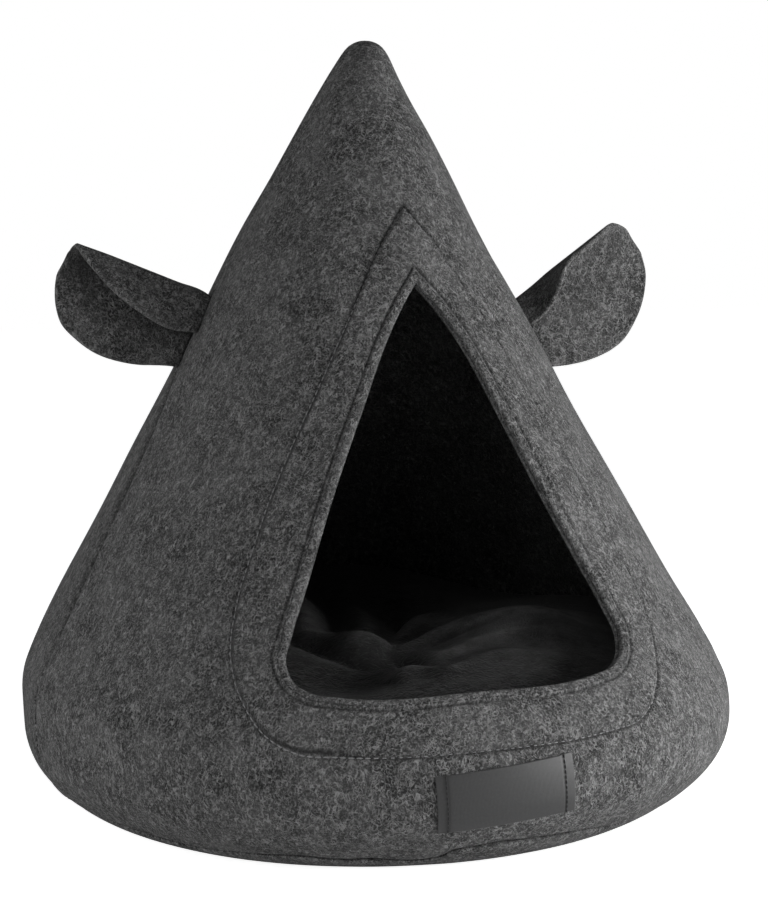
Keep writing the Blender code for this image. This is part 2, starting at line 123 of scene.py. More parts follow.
def unit(vectors: Array) -> Array:
    """Each vector over its own length, with a hair added so that none is divided by 0."""
    return vectors / (np.linalg.norm(vectors, axis=-1, keepdims=True) + 1e-18)


def running_length(points: Array) -> Array:
    """Length of a line up to each of its points: the running sum of its steps."""
    return np.r_[0.0, np.cumsum(np.linalg.norm(np.diff(points, axis=0), axis=1))]


def spline_through(points: Array, steps: int, fineness: int = 40) -> Array:
    """Smooth open curve through the points, in even steps of its length.

    Each span is a cubic whose end slopes are central differences over the points' running length.

    Args:
        points: rows of coordinates.
        steps: number of even steps.
        fineness: places for each point on which the length is measured.

    Returns:
        steps + 1 rows of coordinates.
    """
    points = np.asarray(points, float)
    knots = running_length(points)
    slopes = np.gradient(points, knots, axis=0, edge_order=1)
    fine = np.linspace(0.0, knots[-1], fineness * len(points))
    span = np.clip(np.searchsorted(knots, fine, side="right") - 1, 0, len(points) - 2)
    width = (knots[span + 1] - knots[span])[:, None]
    t = (fine - knots[span])[:, None] / width
    curve = hermite(t, points[span], slopes[span] * width,
                    points[span + 1], slopes[span + 1] * width)
    run = running_length(curve)
    even = np.linspace(0.0, run[-1], steps + 1)
    return np.stack([np.interp(even, run, column) for column in curve.T], axis=1)


def round_over(distance: Array, radius: Array) -> Array:
    """Depth of a quarter-round at a distance from its edge: r - sqrt(r^2 - (r - distance)^2)."""
    inside = np.clip(radius - distance, 0.0, radius)
    return radius - np.sqrt(radius**2 - inside**2)


def cut_edge(distance: Array, thickness: float, rounding: float) -> Array:
    """Half thickness near a cut edge: an ellipse from 0 at the edge to half the cloth."""
    share = np.clip(distance / rounding, 0.0, 1.0)
    return 0.5 * thickness * np.sqrt(1.0 - (1.0 - share) ** 2)


# ======== Meshes ========
def grid_index(rows: int, columns: int, wrap: bool) -> Array:
    """Numbers of a grid's vertices row by row; with wrap the first column follows the last."""
    index = np.arange(rows * columns).reshape(rows, columns)
    return np.concatenate([index, index[:, :1]], axis=1) if wrap else index


def grid_faces(rows: int, columns: int, wrap: bool) -> Array:
    """Quads of a grid of vertices; with wrap the last column meets the first.

    Args:
        rows: of the grid.
        columns: of the grid.
        wrap: whether the last column meets the first.

    Returns:
        Rows of four vertex numbers.
    """
    index = grid_index(rows, columns, wrap)
    quads = np.stack([index[:-1, :-1], index[:-1, 1:], index[1:, 1:], index[1:, :-1]], axis=-1)
    return quads.reshape(-1, 4)


def finish_mesh(mesh: Mesh, merge: float = 0.0) -> Mesh:
    """Merge points nearer than a distance, turn the faces outwards and shade the mesh smooth.

    Args:
        mesh: to work on.
        merge: distance under which two points become one, or 0 for none.

    Returns:
        The same mesh.
    """
    work = bmesh.new()
    work.from_mesh(mesh)
    if merge:
        bmesh.ops.remove_doubles(work, verts=work.verts, dist=merge)
    bmesh.ops.recalc_face_normals(work, faces=work.faces)
    work.to_mesh(mesh)
    work.free()
    mesh.shade_smooth()
    return mesh


def make_mesh(name: str, vertices: Array, faces: Array, worked: Array | None = None,
              ) -> Mesh:
    """Closed mesh with doubles merged and faces outwards.

    Args:
        name: of the mesh.
        vertices: rows of points, in metres.
        faces: rows of vertex numbers.
        worked: share at each point of painted shade (felt) or painted light (plush),
        which is kept as an attribute.

    Returns:
        The new mesh, smooth shaded.
    """
    mesh = bpy.data.meshes.new(name)
    mesh.from_pydata(vertices.tolist(), [], faces.tolist())
    if worked is not None:
        share = np.clip(worked, 0.0, 1.0).ravel().astype(np.float32)
        mesh.attributes.new("worked", "FLOAT", "POINT").data.foreach_set("value", share)
    return finish_mesh(mesh, MERGE)


def sheet_mesh(name: str, face: Array, back: Array, wrap: bool, worked: Array | None = None,
               ) -> Mesh:
    """Closed sheet between two grids of points; where they meet, the points merge.

    Args:
        name: of the mesh.
        face: rows by columns of points on the outer face.
        back: the same on the inner face.
        wrap: whether the last column meets the first.
        worked: share of painted shade or painted light at each point of the outer face.

    Returns:
        The new mesh.
    """
    rows, columns = face.shape[:2]
    offset = rows * columns
    index = grid_index(rows, columns, wrap)
    edges = [index[0], index[-1][::-1]]
    if not wrap:
        edges += [index[:, 0][::-1], index[:, -1]]
    rims = [np.stack([line[:-1], line[:-1] + offset, line[1:] + offset, line[1:]], axis=-1)
            for line in edges]
    quads = grid_faces(rows, columns, wrap)
    if worked is not None:
        worked = np.concatenate([worked.ravel(), np.zeros(offset)])
    return make_mesh(name, np.concatenate([face.reshape(-1, 3), back.reshape(-1, 3)]),
                     np.concatenate([quads, quads[:, ::-1] + offset] + rims), worked)


def add_piece(name: str, mesh: Mesh, finish: Material,
              ) -> Object:
    """Link a mesh as a piece that rides on the cave and takes a finish.

    Args:
        name: of the piece.
        mesh: of the piece.
        finish: material of the whole piece.

    Returns:
        The new piece.
    """
    piece = bpy.data.objects.new(name, mesh)
    mesh.materials.append(finish)
    bpy.context.scene.collection.objects.link(piece)
    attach(piece, "root")
    mesh.calc_loop_triangles()
    LOG.info("%s: %d triangles", name, len(mesh.loop_triangles))
    return piece


# ======== The wall's shape ========
class WallSection(NamedTuple):
    """How the soft wall departs from the plain profile at a height, in millimetres."""

    height: float
    shift: float                      # of its middle to the right
    trim: float                       # added to its radius


@dataclass(frozen=True)
class SewnLine:
    """Groove that a line of stitches presses into felt; the same bell also sets the share of painted
    shade beside a line.
    """

    depth: float
    width: float

    def groove(self, distance: Array) -> Array:
        """Depth at a distance from the line: the depth times a bell as wide as the groove."""
        return self.depth * bell(distance, self.width)


@dataclass(frozen=True)
class Wall:
    """Outline of the wall as a turned profile, its unevenness and the wavy line of its foot."""

    height: float = 439.0 * MM
    foot_radius: float = 183.0 * MM
    foot_spread: float = 1.61
    widest_radius: float = 215.0 * MM
    widest_height: float = 42.0 * MM
    cone_start: float = 79.0 * MM
    cone_slope: float = 0.548
    cone_point: float = 457.5 * MM
    tip_rounding: float = 2.4 * MM
    tip_blend: float = 6.0 * MM       # the trims fade out where the tip is thinner than this
    sections: tuple[WallSection, ...] = tuple(WallSection(*row) for row in (
        (0.0, 0.0, -0.8), (13.0, 0.0, -0.8), (33.0, 1.0, -1.1), (46.0, 0.9, -0.8),
        (58.0, -0.2, -0.8), (68.0, -2.4, -1.2), (80.0, -3.8, -0.8), (95.0, -4.5, -0.5),
        (115.0, -5.4, -1.0), (150.0, -5.9, -1.6), (190.0, -5.9, -2.2), (225.0, -5.9, -2.2),
        (260.0, -6.1, -1.0), (300.0, -6.3, -0.5), (335.0, -6.1, -0.3), (358.0, -4.9, -0.3),
        (385.0, -4.0, -0.2), (405.0, -3.6, -0.7), (420.0, -2.6, -0.85), (430.0, -1.5, -0.8),
        (439.0, -1.1, -0.8),
    ))
    probe: float = 0.01 * MM          # half the step over which the profile's slope is taken
    foot: float = 11.4 * MM           # height of the seam to the base
    foot_ease: float = 40.0 * MM      # its waves fade out over this height
    foot_table: tuple[tuple[float, float], ...] = (   # turn in degrees, height of the line in mm
        (-180.0, 10.4), (-150.0, 11.6), (-120.0, 9.6), (-90.0, 10.6), (-60.0, 9.4), (-47.0, 8.0),
        (-36.0, 9.8), (-28.0, 10.6), (-21.0, 8.3), (-17.0, 9.1), (-10.0, 6.7), (-7.0, 8.0),
        (-4.0, 14.3), (3.0, 16.4), (7.0, 15.3), (13.0, 14.7), (17.0, 14.1), (23.0, 11.0),
        (29.0, 8.3), (45.0, 8.2), (70.0, 10.8), (90.0, 9.6), (120.0, 11.4), (150.0, 9.4),
    )
    side_turn: float = math.radians(90.0)
    drift: float = math.radians(10.0)       # below its ear, the left seam nears the front by this
    drift_start: float = 255.0 * MM
    drift_rise: float = 50.0 * MM
    drift_ease: float = 30.0 * MM     # below the drift's start the trough deepens over this
    seam_round: float = 2.8 * MM      # the felt rolls into each seam by this radius,
    seam_tip: float = 9.0 * MM        # which is reached this far under the tip
    seam_gap: float = 0.12 * MM       # half the gap between two panels
    seam_trough: SewnLine = SewnLine(1.2 * MM, 3.2 * MM)
    seam_lip: SewnLine = SewnLine(0.7 * MM, 3.0 * MM)      # the front stands proud beside it
    seam_lip_inset: float = 7.0 * MM
    seam_fade: float = 82.0 * MM      # height at which the trough has faded out,
    seam_fade_over: float = 45.0 * MM       # and the height above it over which it fades
    seam_shade_least: tuple[float, float] = (0.35, 0.30)      # share of the painted seam shade left by the ears, by the foot
    swell: float = 0.30 * MM          # size of the slow unevenness
    seed: int = 11
    waves: int = 16
    wave_counts: tuple[int, int] = (1, 13)         # round the wall, the last left out
    wave_rises: tuple[float, float] = (6.0, 70.0)  # up the wall, in radians a metre
    wave_fall: float = 0.25           # how much smaller the waves with high counts are
    swell_side: float = 32.0 * MM     # the unevenness starts over this beside a side seam,
    swell_tip: float = 90.0 * MM      # and over this under the tip

    def radius(self, height: Array) -> Array:
        """Outer radius: a cubic bulge up to the widest ring, a cubic shoulder to the straight cone,
        and a tip where the cone is multiplied by sqrt(1 - exp(-drop / rounding)).

        Args:
            height: over the floor.

        Returns:
            Radius at each height.
        """
        height = np.asarray(height, float)
        foot = hermite(height / self.widest_height, self.foot_radius,
                       self.foot_spread * self.widest_height, self.widest_radius, 0.0)
        rise = self.cone_start - self.widest_height
        shoulder = hermite((height - self.widest_height) / rise, self.widest_radius, 0.0,
                           self.cone_slope * (self.cone_point - self.cone_start),
                           -self.cone_slope * rise)
        drop = np.maximum(self.height - height, 0.0)
        cone = self.cone_slope * (self.cone_point - height)
        cone = cone * np.sqrt(1.0 - np.exp(-drop / self.tip_rounding))
        plain = np.where(height < self.widest_height, foot,
                         np.where(height < self.cone_start, shoulder, cone))
        return plain + self.section(height, "trim") * np.minimum(plain / self.tip_blend, 1.0)

    def section(self, height: Array, part: str) -> Array:
        """A named part of the sections at a height, read from a smooth curve through the table."""
        smooth = self.section_curve()
        return np.interp(height, smooth[:, 0], smooth[:, WallSection._fields.index(part)])

    @lru_cache(maxsize=1)
    def section_curve(self) -> Array:
        """Smooth curve through the rows of the sections table, in metres."""
        return spline_through(np.array(self.sections) * MM, TABLE_STEPS)

    def shift(self, height: Array) -> Array:
        """Sideways place of the wall's middle at a height."""
        return self.section(height, "shift")

    def normal(self, height: Array) -> tuple[Array, Array]:
        """Outward and upward part of the profile's unit normal, from a small difference.

        Args:
            height: over the floor.

        Returns:
            The outward part and the upward part.
        """
        upper = np.minimum(np.asarray(height, float) + self.probe, self.height)
        lower = upper - 2.0 * self.probe
        slope = (self.radius(upper) - self.radius(lower)) / (upper - lower)
        length = np.hypot(1.0, slope)
        return 1.0 / length, -slope / length

    def even_heights(self, bottom: float, count: int) -> Array:
        """Heights from the tip down to the bottom, in even steps of the profile's length.

        Args:
            bottom: lowest height.
            count: number of heights.

        Returns:
            Heights, the highest first.
        """
        fine = np.linspace(self.height, bottom, PROFILE_STEPS)
        run = running_length(np.stack([self.radius(fine), fine], axis=1))
        return np.interp(np.linspace(0.0, run[-1], count), run, fine)

    @staticmethod
    def wrapped(turn: Array) -> Array:
        """The turn brought between half a turn to the left and half a turn to the right."""
        return (np.asarray(turn, float) + math.pi) % FULL_TURN - math.pi

    def foot_line(self, turn: Array) -> Array:
        """Height of the wavy seam to the base, eased from each place in the table to the next.

        Args:
            turn: about the upright axis.

        Returns:
            Height of the seam at each turn.
        """
        table = np.array(self.foot_table)
        places = np.radians(np.r_[table[:, 0], 180.0])
        heights = np.r_[table[:, 1], table[0, 1]] * MM
        turn = self.wrapped(turn)
        span = np.clip(np.searchsorted(places, turn, side="right") - 1, 0, len(places) - 2)
        share = (turn - places[span]) / (places[span + 1] - places[span])
        return heights[span] + (heights[span + 1] - heights[span]) * smooth_step(share)

    def seam_turn(self, side: Side, height: Array) -> Array:
        """Turn of a side seam, unsigned: the left one nears the front as 1 - exp(-drop / rise).

        Args:
            side: of the doorway.
            height: over the floor.

        Returns:
            Turn of the seam at each height.
        """
        drop = np.maximum(self.drift_start - np.asarray(height, float), 0.0)
        drift = self.drift if side is Side.LEFT else 0.0
        return self.side_turn - drift * (1.0 - np.exp(-drop / self.drift_rise))

    def side_distance(self, turn: Array, height: Array) -> Array:
        """Distance round the wall to the nearer side seam: radius times the turn that is left.

        Args:
            turn: about the upright axis.
            height: over the floor.

        Returns:
            Distance of each place.
        """
        turn = self.wrapped(turn)
        seam = np.where(turn < 0.0, self.seam_turn(Side.LEFT, height),
                        self.seam_turn(Side.RIGHT, height))
        return self.radius(height) * np.abs(np.abs(turn) - seam)

    def swelling(self, turn: Array, height: Array) -> Array:
        """Slow unevenness: seeded waves round and up the wall, eased to 0 by the seams and tip.

        Args:
            turn: about the upright axis.
            height: over the floor.

        Returns:
            How far the wall stands out at each place.
        """
        dice = np.random.default_rng(self.seed)
        around = dice.integers(*self.wave_counts, self.waves)
        upward = dice.uniform(*self.wave_rises, self.waves)
        phase = dice.uniform(0.0, FULL_TURN, self.waves)
        share = dice.normal(0.0, 1.0, self.waves) / np.sqrt(1.0 + self.wave_fall * around)
        waves = sum(s * np.cos(a * turn + u * height + p)
                    for s, a, u, p in zip(share, around, upward, phase))
        hold = ease(self.side_distance(turn, height), 0.0, self.swell_side)
        return self.swell * waves * hold * ease(height, self.height, -self.swell_tip)

    def point(self, turn: Array, height: Array, depth: Array) -> Array:
        """Point of the wall: the profile moved in along its normal by the depth less the swelling.

        Args:
            turn: about the upright axis.
            height: of the profile's point.
            depth: under the outer face.

        Returns:
            Points, with x, y and z in the last axis.
        """
        outward, upward = self.normal(height)
        depth = depth - self.swelling(turn, height)
        radius = np.maximum(self.radius(height) - depth * outward, 0.0)
        x = radius * np.sin(turn) + self.shift(height)
        return np.stack([x, -radius * np.cos(turn), height - depth * upward], axis=-1)

    def below_ears(self, height: Array) -> Array:
        """Share that eases from 0 where the left seam's drift starts to 1 lower down."""
        return ease(height, self.drift_start, -self.drift_ease)

    def above_fade(self, height: Array) -> Array:
        """Share that eases from 0 near the foot to 1 higher up."""
        return ease(height, self.seam_fade, self.seam_fade_over)

    def seam_depth(self, turn: Array, height: Array) -> Array:
        """How deep the outer face rolls into the side seams and the foot seam: the deeper of two
        quarter-rounds, the first with the trough added.

        Args:
            turn: about the upright axis.
            height: over the floor.

        Returns:
            Depth at each place.
        """
        outward, _ = self.normal(height)
        soft = self.seam_round * ease(height, self.height, -self.seam_tip) + 1e-9
        away = self.side_distance(turn, height)
        low = self.below_ears(height) * self.above_fade(height)
        side = round_over(away, soft) + low * self.seam_trough.groove(away)
        above = np.maximum(height - self.foot_line(turn), 0.0) / outward
        return np.maximum(side, round_over(above, self.seam_round))

    def painted_seam_shade(self, turn: Array, height: Array, line: SewnLine) -> Array:
        """Share of painted shade beside a side seam, weaker above the ears and towards the foot.

        Args:
            turn: about the upright axis.
            height: over the floor.
            line: share of painted shade at the seam, and its width.

        Returns:
            Share at each place.
        """
        by_ears, by_foot = self.seam_shade_least
        low = by_ears + (1.0 - by_ears) * self.below_ears(height)
        high = by_foot + (1.0 - by_foot) * self.above_fade(height)
        return low * high * line.groove(self.side_distance(turn, height))

    def raised_foot(self, turn: Array, height: Array) -> Array:
        """Heights moved so that the lowest row lies on the wavy foot line, less so higher up."""
        fade = 1.0 - ease(height, self.foot, self.foot_ease)
        return height + (self.foot_line(turn) - self.foot) * fade


class OutlinePoint(NamedTuple):
    """Place on the wall seen from the front, in millimetres."""

    half_width: float
    height: float


@dataclass(frozen=True)
class Doorway:
    """The doorway and its facing's stitch line, as lines on the wall, and the rows between."""

    wall: Wall
    door: tuple[OutlinePoint, ...] = tuple(OutlinePoint(*pair) for pair in (
        (0.0, 301.0), (9.0, 290.0), (20.0, 273.5), (40.5, 232.0), (61.0, 188.5), (79.0, 149.5),
        (90.0, 126.0), (94.8, 112.0), (92.0, 103.5), (84.5, 98.6), (72.0, 96.9), (0.0, 96.8),
    ))
    facing: tuple[OutlinePoint, ...] = tuple(OutlinePoint(*pair) for pair in (
        (0.0, 343.0), (16.5, 322.0), (32.5, 296.0), (59.0, 248.0), (82.0, 205.0), (101.0, 166.0),
        (114.5, 134.0), (119.5, 111.0), (117.0, 93.0), (108.5, 78.0), (94.0, 70.0), (76.0, 69.0),
        (0.0, 69.0),
    ))
    lean: float = -3.0 * MM           # sideways lean, growing with the square of height
    peak_shift: float = 4.5 * MM
    peak_shift_start: float = 170.0 * MM
    peak_shift_rise: float = 130.0 * MM
    tip_columns: int = 20             # columns of half the panel that end over the tip,
    side_columns: int = 150           # down the side seam
    foot_columns: int = 70            # and along the foot
    band: float = 28.0 * MM           # nominal width of the facing
    band_rows: tuple[float, ...] = (  # mm from the door's edge
        0.0, 0.1, 0.35, 0.8, 1.5, 2.4, 3.4, 4.3, 5.0, 5.5, 5.9, 6.3, 6.8, 7.5, 8.6, 10.2, 12.0,
        14.0, 16.0, 18.0, 20.0, 21.6, 23.0, 24.2, 25.2, 26.0, 26.7, 27.35)
    outside_rows: tuple[float, ...] = (0.0, 0.65, 1.3, 2.0, 2.8, 3.8, 5.2, 7.2)   # mm past it
    border_rows: tuple[float, ...] = (7.5, 5.0, 3.4, 2.3, 1.5, 0.9, 0.4, 0.0)   # mm inside
    middle_rows: int = 38
    walk_places: int = 25             # places on which a column's length is measured

    def outline(self, half: tuple[OutlinePoint, ...]) -> Array:
        """Turn and height round a closed outline: a smooth curve through the right half, mirrored,
        its peak set to the right; the turn is arcsin((x - the wall's shift) / radius).

        Args:
            half: right half of the outline, from its peak down to its middle.

        Returns:
            Rows of (turn, height).
        """
        steps = self.tip_columns + self.side_columns + self.foot_columns
        line = self.mirrored(*spline_through(np.asarray(half) * MM, steps).T)
        x, height = line[:, 0], line[:, 1]
        x = x + self.peak_shift * ease(height, self.peak_shift_start, self.peak_shift_rise)
        x = x + self.lean * (height / self.wall.height) ** 2
        turn = np.arcsin((x - self.wall.shift(height)) / self.wall.radius(height))
        return np.stack([turn, height], axis=-1)

    @staticmethod
    def mirrored(across: Array, height: Array) -> Array:
        """Close a half outline with its mirror image, without doubling its two ends."""
        return np.stack([np.r_[across, -across[-2:0:-1]], np.r_[height, height[-2:0:-1]]], axis=-1)

    def border(self) -> Array:
        """Turn and height round the front panel: over the tip, down the side seam by even lengths,
        along the foot.

        Returns:
            Rows of (turn, height).
        """
        wall = self.wall
        side = wall.even_heights(wall.foot, self.side_columns + 1)
        over = np.linspace(0.0, wall.side_turn, self.tip_columns, endpoint=False)
        along = np.linspace(wall.side_turn, 0.0, self.foot_columns + 1)[1:]
        turn = np.r_[over, np.full(len(side), wall.side_turn), along]
        height = np.r_[np.full(self.tip_columns, wall.height), side,
                       np.full(self.foot_columns, wall.foot)]
        border = self.mirrored(turn, height)
        left = border[:, 0] < 0.0
        border[left, 0] *= wall.seam_turn(Side.LEFT, border[left, 1]) / wall.side_turn
        return border

    def rows(self) -> tuple[Array, int]:
        """Rows of the front panel, as shares of straight ways in turn and height.

        Returns:
            Grid of (turn, height) from the door's edge out to the border, and the number of the
            facing line's row.
        """
        door, facing, border = self.outline(self.door), self.outline(self.facing), self.border()
        walk = facing + (border - facing) * np.linspace(0.0, 1.0, self.walk_places)[:, None, None]
        ends = self.wall.point(walk[..., 0], walk[..., 1], 0.0)
        length = np.linalg.norm(np.diff(ends, axis=0), axis=-1).sum(axis=0)[:, None]
        inner, near, far = (np.array(table)[:, None, None] * MM
                            for table in (self.band_rows, self.outside_rows, self.border_rows))
        near, far = near / length, 1.0 - far / length
        middle = (np.arange(1, self.middle_rows) / self.middle_rows)[:, None, None]
        shares = np.concatenate([near, near[-1] + (far[0] - near[-1]) * middle, far])
        return np.concatenate([door + (facing - door) * inner / self.band,
                               facing + (border - facing) * shares]), len(self.band_rows)


@dataclass(frozen=True)
class Stitches:
    """Row of short threads lying along a line."""

    pitch: float = 4.2 * MM
    length: float = 3.3 * MM
    radius: float = 0.38 * MM
    rings: int = 5
    sides: int = 6
    sink: float = 0.35 * MM           # how far the ends of a thread dive into the cloth
    seat: float = 0.6                 # height of its middle over the line, in radii
    taper: float = 0.96               # share of its thickness squared that the ends lose
    probe: float = 0.05 * MM          # half the step over which its direction is taken

    def mesh(self, name: str, path: Array, normal: Array, closed: bool) -> Mesh:
        """Capsules along a path: rings of a tapered tube for each stitch, sunk at both ends.

        Args:
            name: of the mesh.
            path: rows of points along the line.
            normal: rows of unit vectors out of the cloth.
            closed: whether the line meets itself.

        Returns:
            One mesh with every stitch of the line.
        """
        if closed:
            path, normal = (np.concatenate([rows, rows[:1]]) for rows in (path, normal))
        run = running_length(path)
        count = int(run[-1] / self.pitch)
        start = (np.arange(count) + 0.5 * (1.0 - self.length / self.pitch)) * run[-1] / count
        share = np.linspace(0.0, 1.0, self.rings)
        place = start[:, None] + share * self.length
        up = unit(self.along(place, run, normal))
        ahead, behind = (self.along(place + step, run, path) for step in (self.probe, -self.probe))
        across = np.cross(unit(ahead - behind), up)
        bow = (2.0 * share - 1.0) ** 2
        lift = self.seat * self.radius - self.sink * bow
        centre = self.along(place, run, path) + up * lift[None, :, None]
        thick = self.radius * np.sqrt(1.0 - self.taper * bow**2)
        angle = np.linspace(0.0, FULL_TURN, self.sides, endpoint=False)[:, None]
        ring = across[:, :, None] * np.cos(angle) + up[:, :, None] * np.sin(angle)
        tube = centre[:, :, None] + ring * thick[None, :, None, None]
        block = self.rings * self.sides
        caps = np.stack([np.arange(self.sides)[::-1], block - self.sides + np.arange(self.sides)])
        faces = []
        for part in (grid_faces(self.rings, self.sides, True), caps):
            every = part[None] + block * np.arange(count)[:, None, None]
            faces += [tuple(row) for row in every.reshape(-1, part.shape[1])]
        mesh = bpy.data.meshes.new(name)
        mesh.from_pydata(tube.reshape(-1, 3).tolist(), [], faces)
        return finish_mesh(mesh)

    @staticmethod
    def along(place: Array, run: Array, rows: Array) -> Array:
        """Values at places along a line, read between its rows."""
        return np.stack([np.interp(place, run, rows[:, axis]) for axis in range(3)], axis=-1)


@dataclass
class FrontPanel:
    """Front half of the wall with its doorway, the facing behind it and both lines of stitches."""

    doorway: Doorway
    facing_felt: float = 2.7 * MM
    facing_gap: float = 0.2 * MM
    facing_over: int = 6              # rows that the facing runs on past its stitch line
    cut_round: float = 1.1 * MM
    relief_ease: float = 1.2 * MM     # the relief starts over this distance from the door's edge
    facing_line: SewnLine = SewnLine(1.0 * MM, 0.9 * MM)
    door_line: SewnLine = SewnLine(0.95 * MM, 0.85 * MM)
    door_line_inset: float = 6.0 * MM
    crest: SewnLine = SewnLine(0.7 * MM, 1.1 * MM)     # lip just inside the facing's stitches
    crest_inset: float = 2.4 * MM
    band_raise: float = 0.9 * MM      # the doubled felt stands proud inside the facing line,
    band_ease: tuple[float, float] = (5.0 * MM, 4.0 * MM)  # from the line and from the door's edge
    sunk: float = 0.35 * MM           # a thread lies this deep in its groove,
    lift: float = 0.75 * MM           # but the facing's thread stands up so far on the left,
    lift_from: float = math.radians(12.0)     # past this turn
    lift_over: float = math.radians(12.0)
    fade_from: float = math.radians(8.0)      # past this turn, above the sill on the right, the painted shade along the facing line loses this share
    fade_share: float = 0.65          # the pressed line loses this share
    fade_above: float = 70.0 * MM
    fade_rise: float = 30.0 * MM
    line_shade_bell: SewnLine = SewnLine(0.85, 0.9 * MM)    # shares of painted shade beside the lines and seams, and their widths
    # the painted shade of the facing line lies on its shadowed side: inside it round the left,
    # outside it elsewhere
    line_shade_inside: float = -1.4 * MM
    line_shade_outside: float = 0.7 * MM
    door_shade_bell: SewnLine = SewnLine(0.75, 0.75 * MM)
    seam_shade_bell: SewnLine = SewnLine(0.60, 1.8 * MM)
    pucker: float = 0.22 * MM
    pucker_wave: float = 17.0 * MM
    pucker_reach: float = 9.0 * MM
    pucker_step: float = 1.8 * MM     # nominal width of a column along the line
    pucker_stray: tuple[float, float] = (1.7, 0.21)    # how far and how often the waves stray
    turn: Array = field(init=False)   # of each point of the panel's grid,
    height: Array = field(init=False)       # its height,
    from_door: Array = field(init=False)    # its distance to the door's edge
    from_line: Array = field(init=False)    # and, outwards, to the facing's line,
    depth: Array = field(init=False)        # and the depth of the relief there
    line_row: int = field(init=False)       # number of the row on that line

    def measure(self) -> None:
        """Work out the grid, its distances to the door's edge and the facing line, and the relief.

        A distance is the run along a column times the sine of the angle at which the column meets
        the line.
        """
        wall = self.doorway.wall
        grid, self.line_row = self.doorway.rows()
        self.turn, self.height = grid[..., 0], grid[..., 1]
        plain = wall.point(self.turn, self.height, 0.0)
        steps = np.linalg.norm(np.diff(plain, axis=0), axis=-1)
        run = np.concatenate([np.zeros((1, plain.shape[1])), np.cumsum(steps, axis=0)])
        self.from_door = run * self.skew(plain, 0)
        self.from_line = (run - run[self.line_row]) * self.skew(plain, self.line_row)
        self.height = wall.raised_foot(self.turn, self.height)
        self.depth = self.relief()

    @staticmethod
    def skew(points: Array, row: int) -> Array:
        """Sine of the angle between each column and the row's line.

        Args:
            points: grid of points, row by row.
            row: number of the row.

        Returns:
            The sine at each of the row's points.
        """
        line = np.roll(points[row], -1, axis=0) - np.roll(points[row], 1, axis=0)
        column = points[row + 1] - points[row]
        return np.linalg.norm(np.cross(unit(line), unit(column)), axis=-1)

    def relief(self) -> Array:
        """Depth of the outer face: grooves and puckers, less the raised band and the lip by the
        side seams, plus the rolled seams.

        Returns:
            Depth at each point of the grid.
        """
        wall = self.doorway.wall
        by_line, by_door = self.band_ease
        band = ease(self.from_line, 0.0, -by_line) * ease(self.from_door, 0.0, by_door)
        around = np.arange(1.0, self.turn.shape[1] + 1.0)
        phase = around * self.pucker_step * FULL_TURN / self.pucker_wave
        far, often = self.pucker_stray
        pucker = self.pucker * bell(self.from_line, self.pucker_reach)
        pucker = pucker * np.sin(phase + far * np.sin(often * around))
        sewn = self.facing_line.groove(self.from_line)
        sewn += self.door_line.groove(self.from_door - self.door_line_inset)
        raised = self.crest.groove(self.from_line + self.crest_inset) + self.band_raise * band
        beside = wall.side_distance(self.turn, self.height) - wall.seam_lip_inset
        raised += wall.below_ears(self.height) * wall.seam_lip.groove(beside)
        return sewn - raised + pucker + wall.seam_depth(self.turn, self.height)

    def on_left(self, turn: Array) -> Array:
        """Share that eases from 0 at the front to 1 round the left."""
        return ease(-turn, self.lift_from, self.lift_over)

    def painted_shade(self) -> Array:
        """Share of painted shade: bells beside the stitches and along the side seams.

        Returns:
            Share at each point of the grid.
        """
        left = self.on_left(self.turn)
        right = ease(self.turn, self.fade_from, self.lift_over)
        right = right * ease(self.height, self.fade_above, self.fade_rise)
        beside = self.from_line - self.line_shade_inside * left - self.line_shade_outside * (1.0 - left)
        line = self.line_shade_bell.groove(beside) * (1.0 - self.fade_share * right)
        door = self.door_shade_bell.groove(self.from_door - self.door_line_inset)
        wall = self.doorway.wall
        return line + door + wall.painted_seam_shade(self.turn, self.height, self.seam_shade_bell)

    def point(self, turn: Array, height: Array, depth: Array) -> Array:
        """Point of the wall, half a seam gap forward of where it would be without the seams."""
        wall = self.doorway.wall
        return wall.point(turn, height, depth) - np.array([0.0, wall.seam_gap, 0.0])

    def build(self, felt: Material, light_thread: Material,
              dark_thread: Material) -> None:
        """Make the panel, the facing and the stitches.

        Args:
            felt: finish of the felt.
            light_thread: finish of the stitches round the facing.
            dark_thread: finish of the stitches round the door.
        """
        self.measure()
        half = cut_edge(self.from_door, FELT, self.cut_round)
        top = 0.5 * FELT - half + self.depth * ease(self.from_door, 0.0, self.relief_ease)
        face = self.point(self.turn, self.height, top)
        back = self.point(self.turn, self.height, 0.5 * FELT + half)
        # the outer face carries the painted shade along its stitch lines and seams
        mesh = sheet_mesh("front_felt", face, back, True, self.painted_shade())
        panel = add_piece("front_felt", mesh, felt)
        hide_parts("front_panel")
        door_row = int(np.argmin(abs(self.from_door[:, 0] - self.door_line_inset)))
        lines = [self.sew("facing_stitches", self.line_row, light_thread, self.lift),
                 self.sew("door_stitches", door_row, dark_thread, 0.0)]
        self.build_facing(felt)

    def build_facing(self, felt: Material) -> None:
        """Ring of felt behind the doorway's edge, on every second column of the panel's grid."""
        part = slice(0, self.line_row + self.facing_over), slice(None, None, 2)
        turn, height, outside = self.turn[part], self.height[part], -self.from_line[part]
        edge = np.minimum(self.from_door[part], outside - outside[-1])
        half = cut_edge(edge, self.facing_felt, self.cut_round)
        middle = FELT + self.facing_gap + 0.5 * self.facing_felt
        face, back = (self.point(turn, height, middle + way * half) for way in (-1.0, 1.0))
        mesh = sheet_mesh("facing_felt", face, back, True)
        piece = add_piece("facing_felt", mesh, felt)
        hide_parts("door_facing")

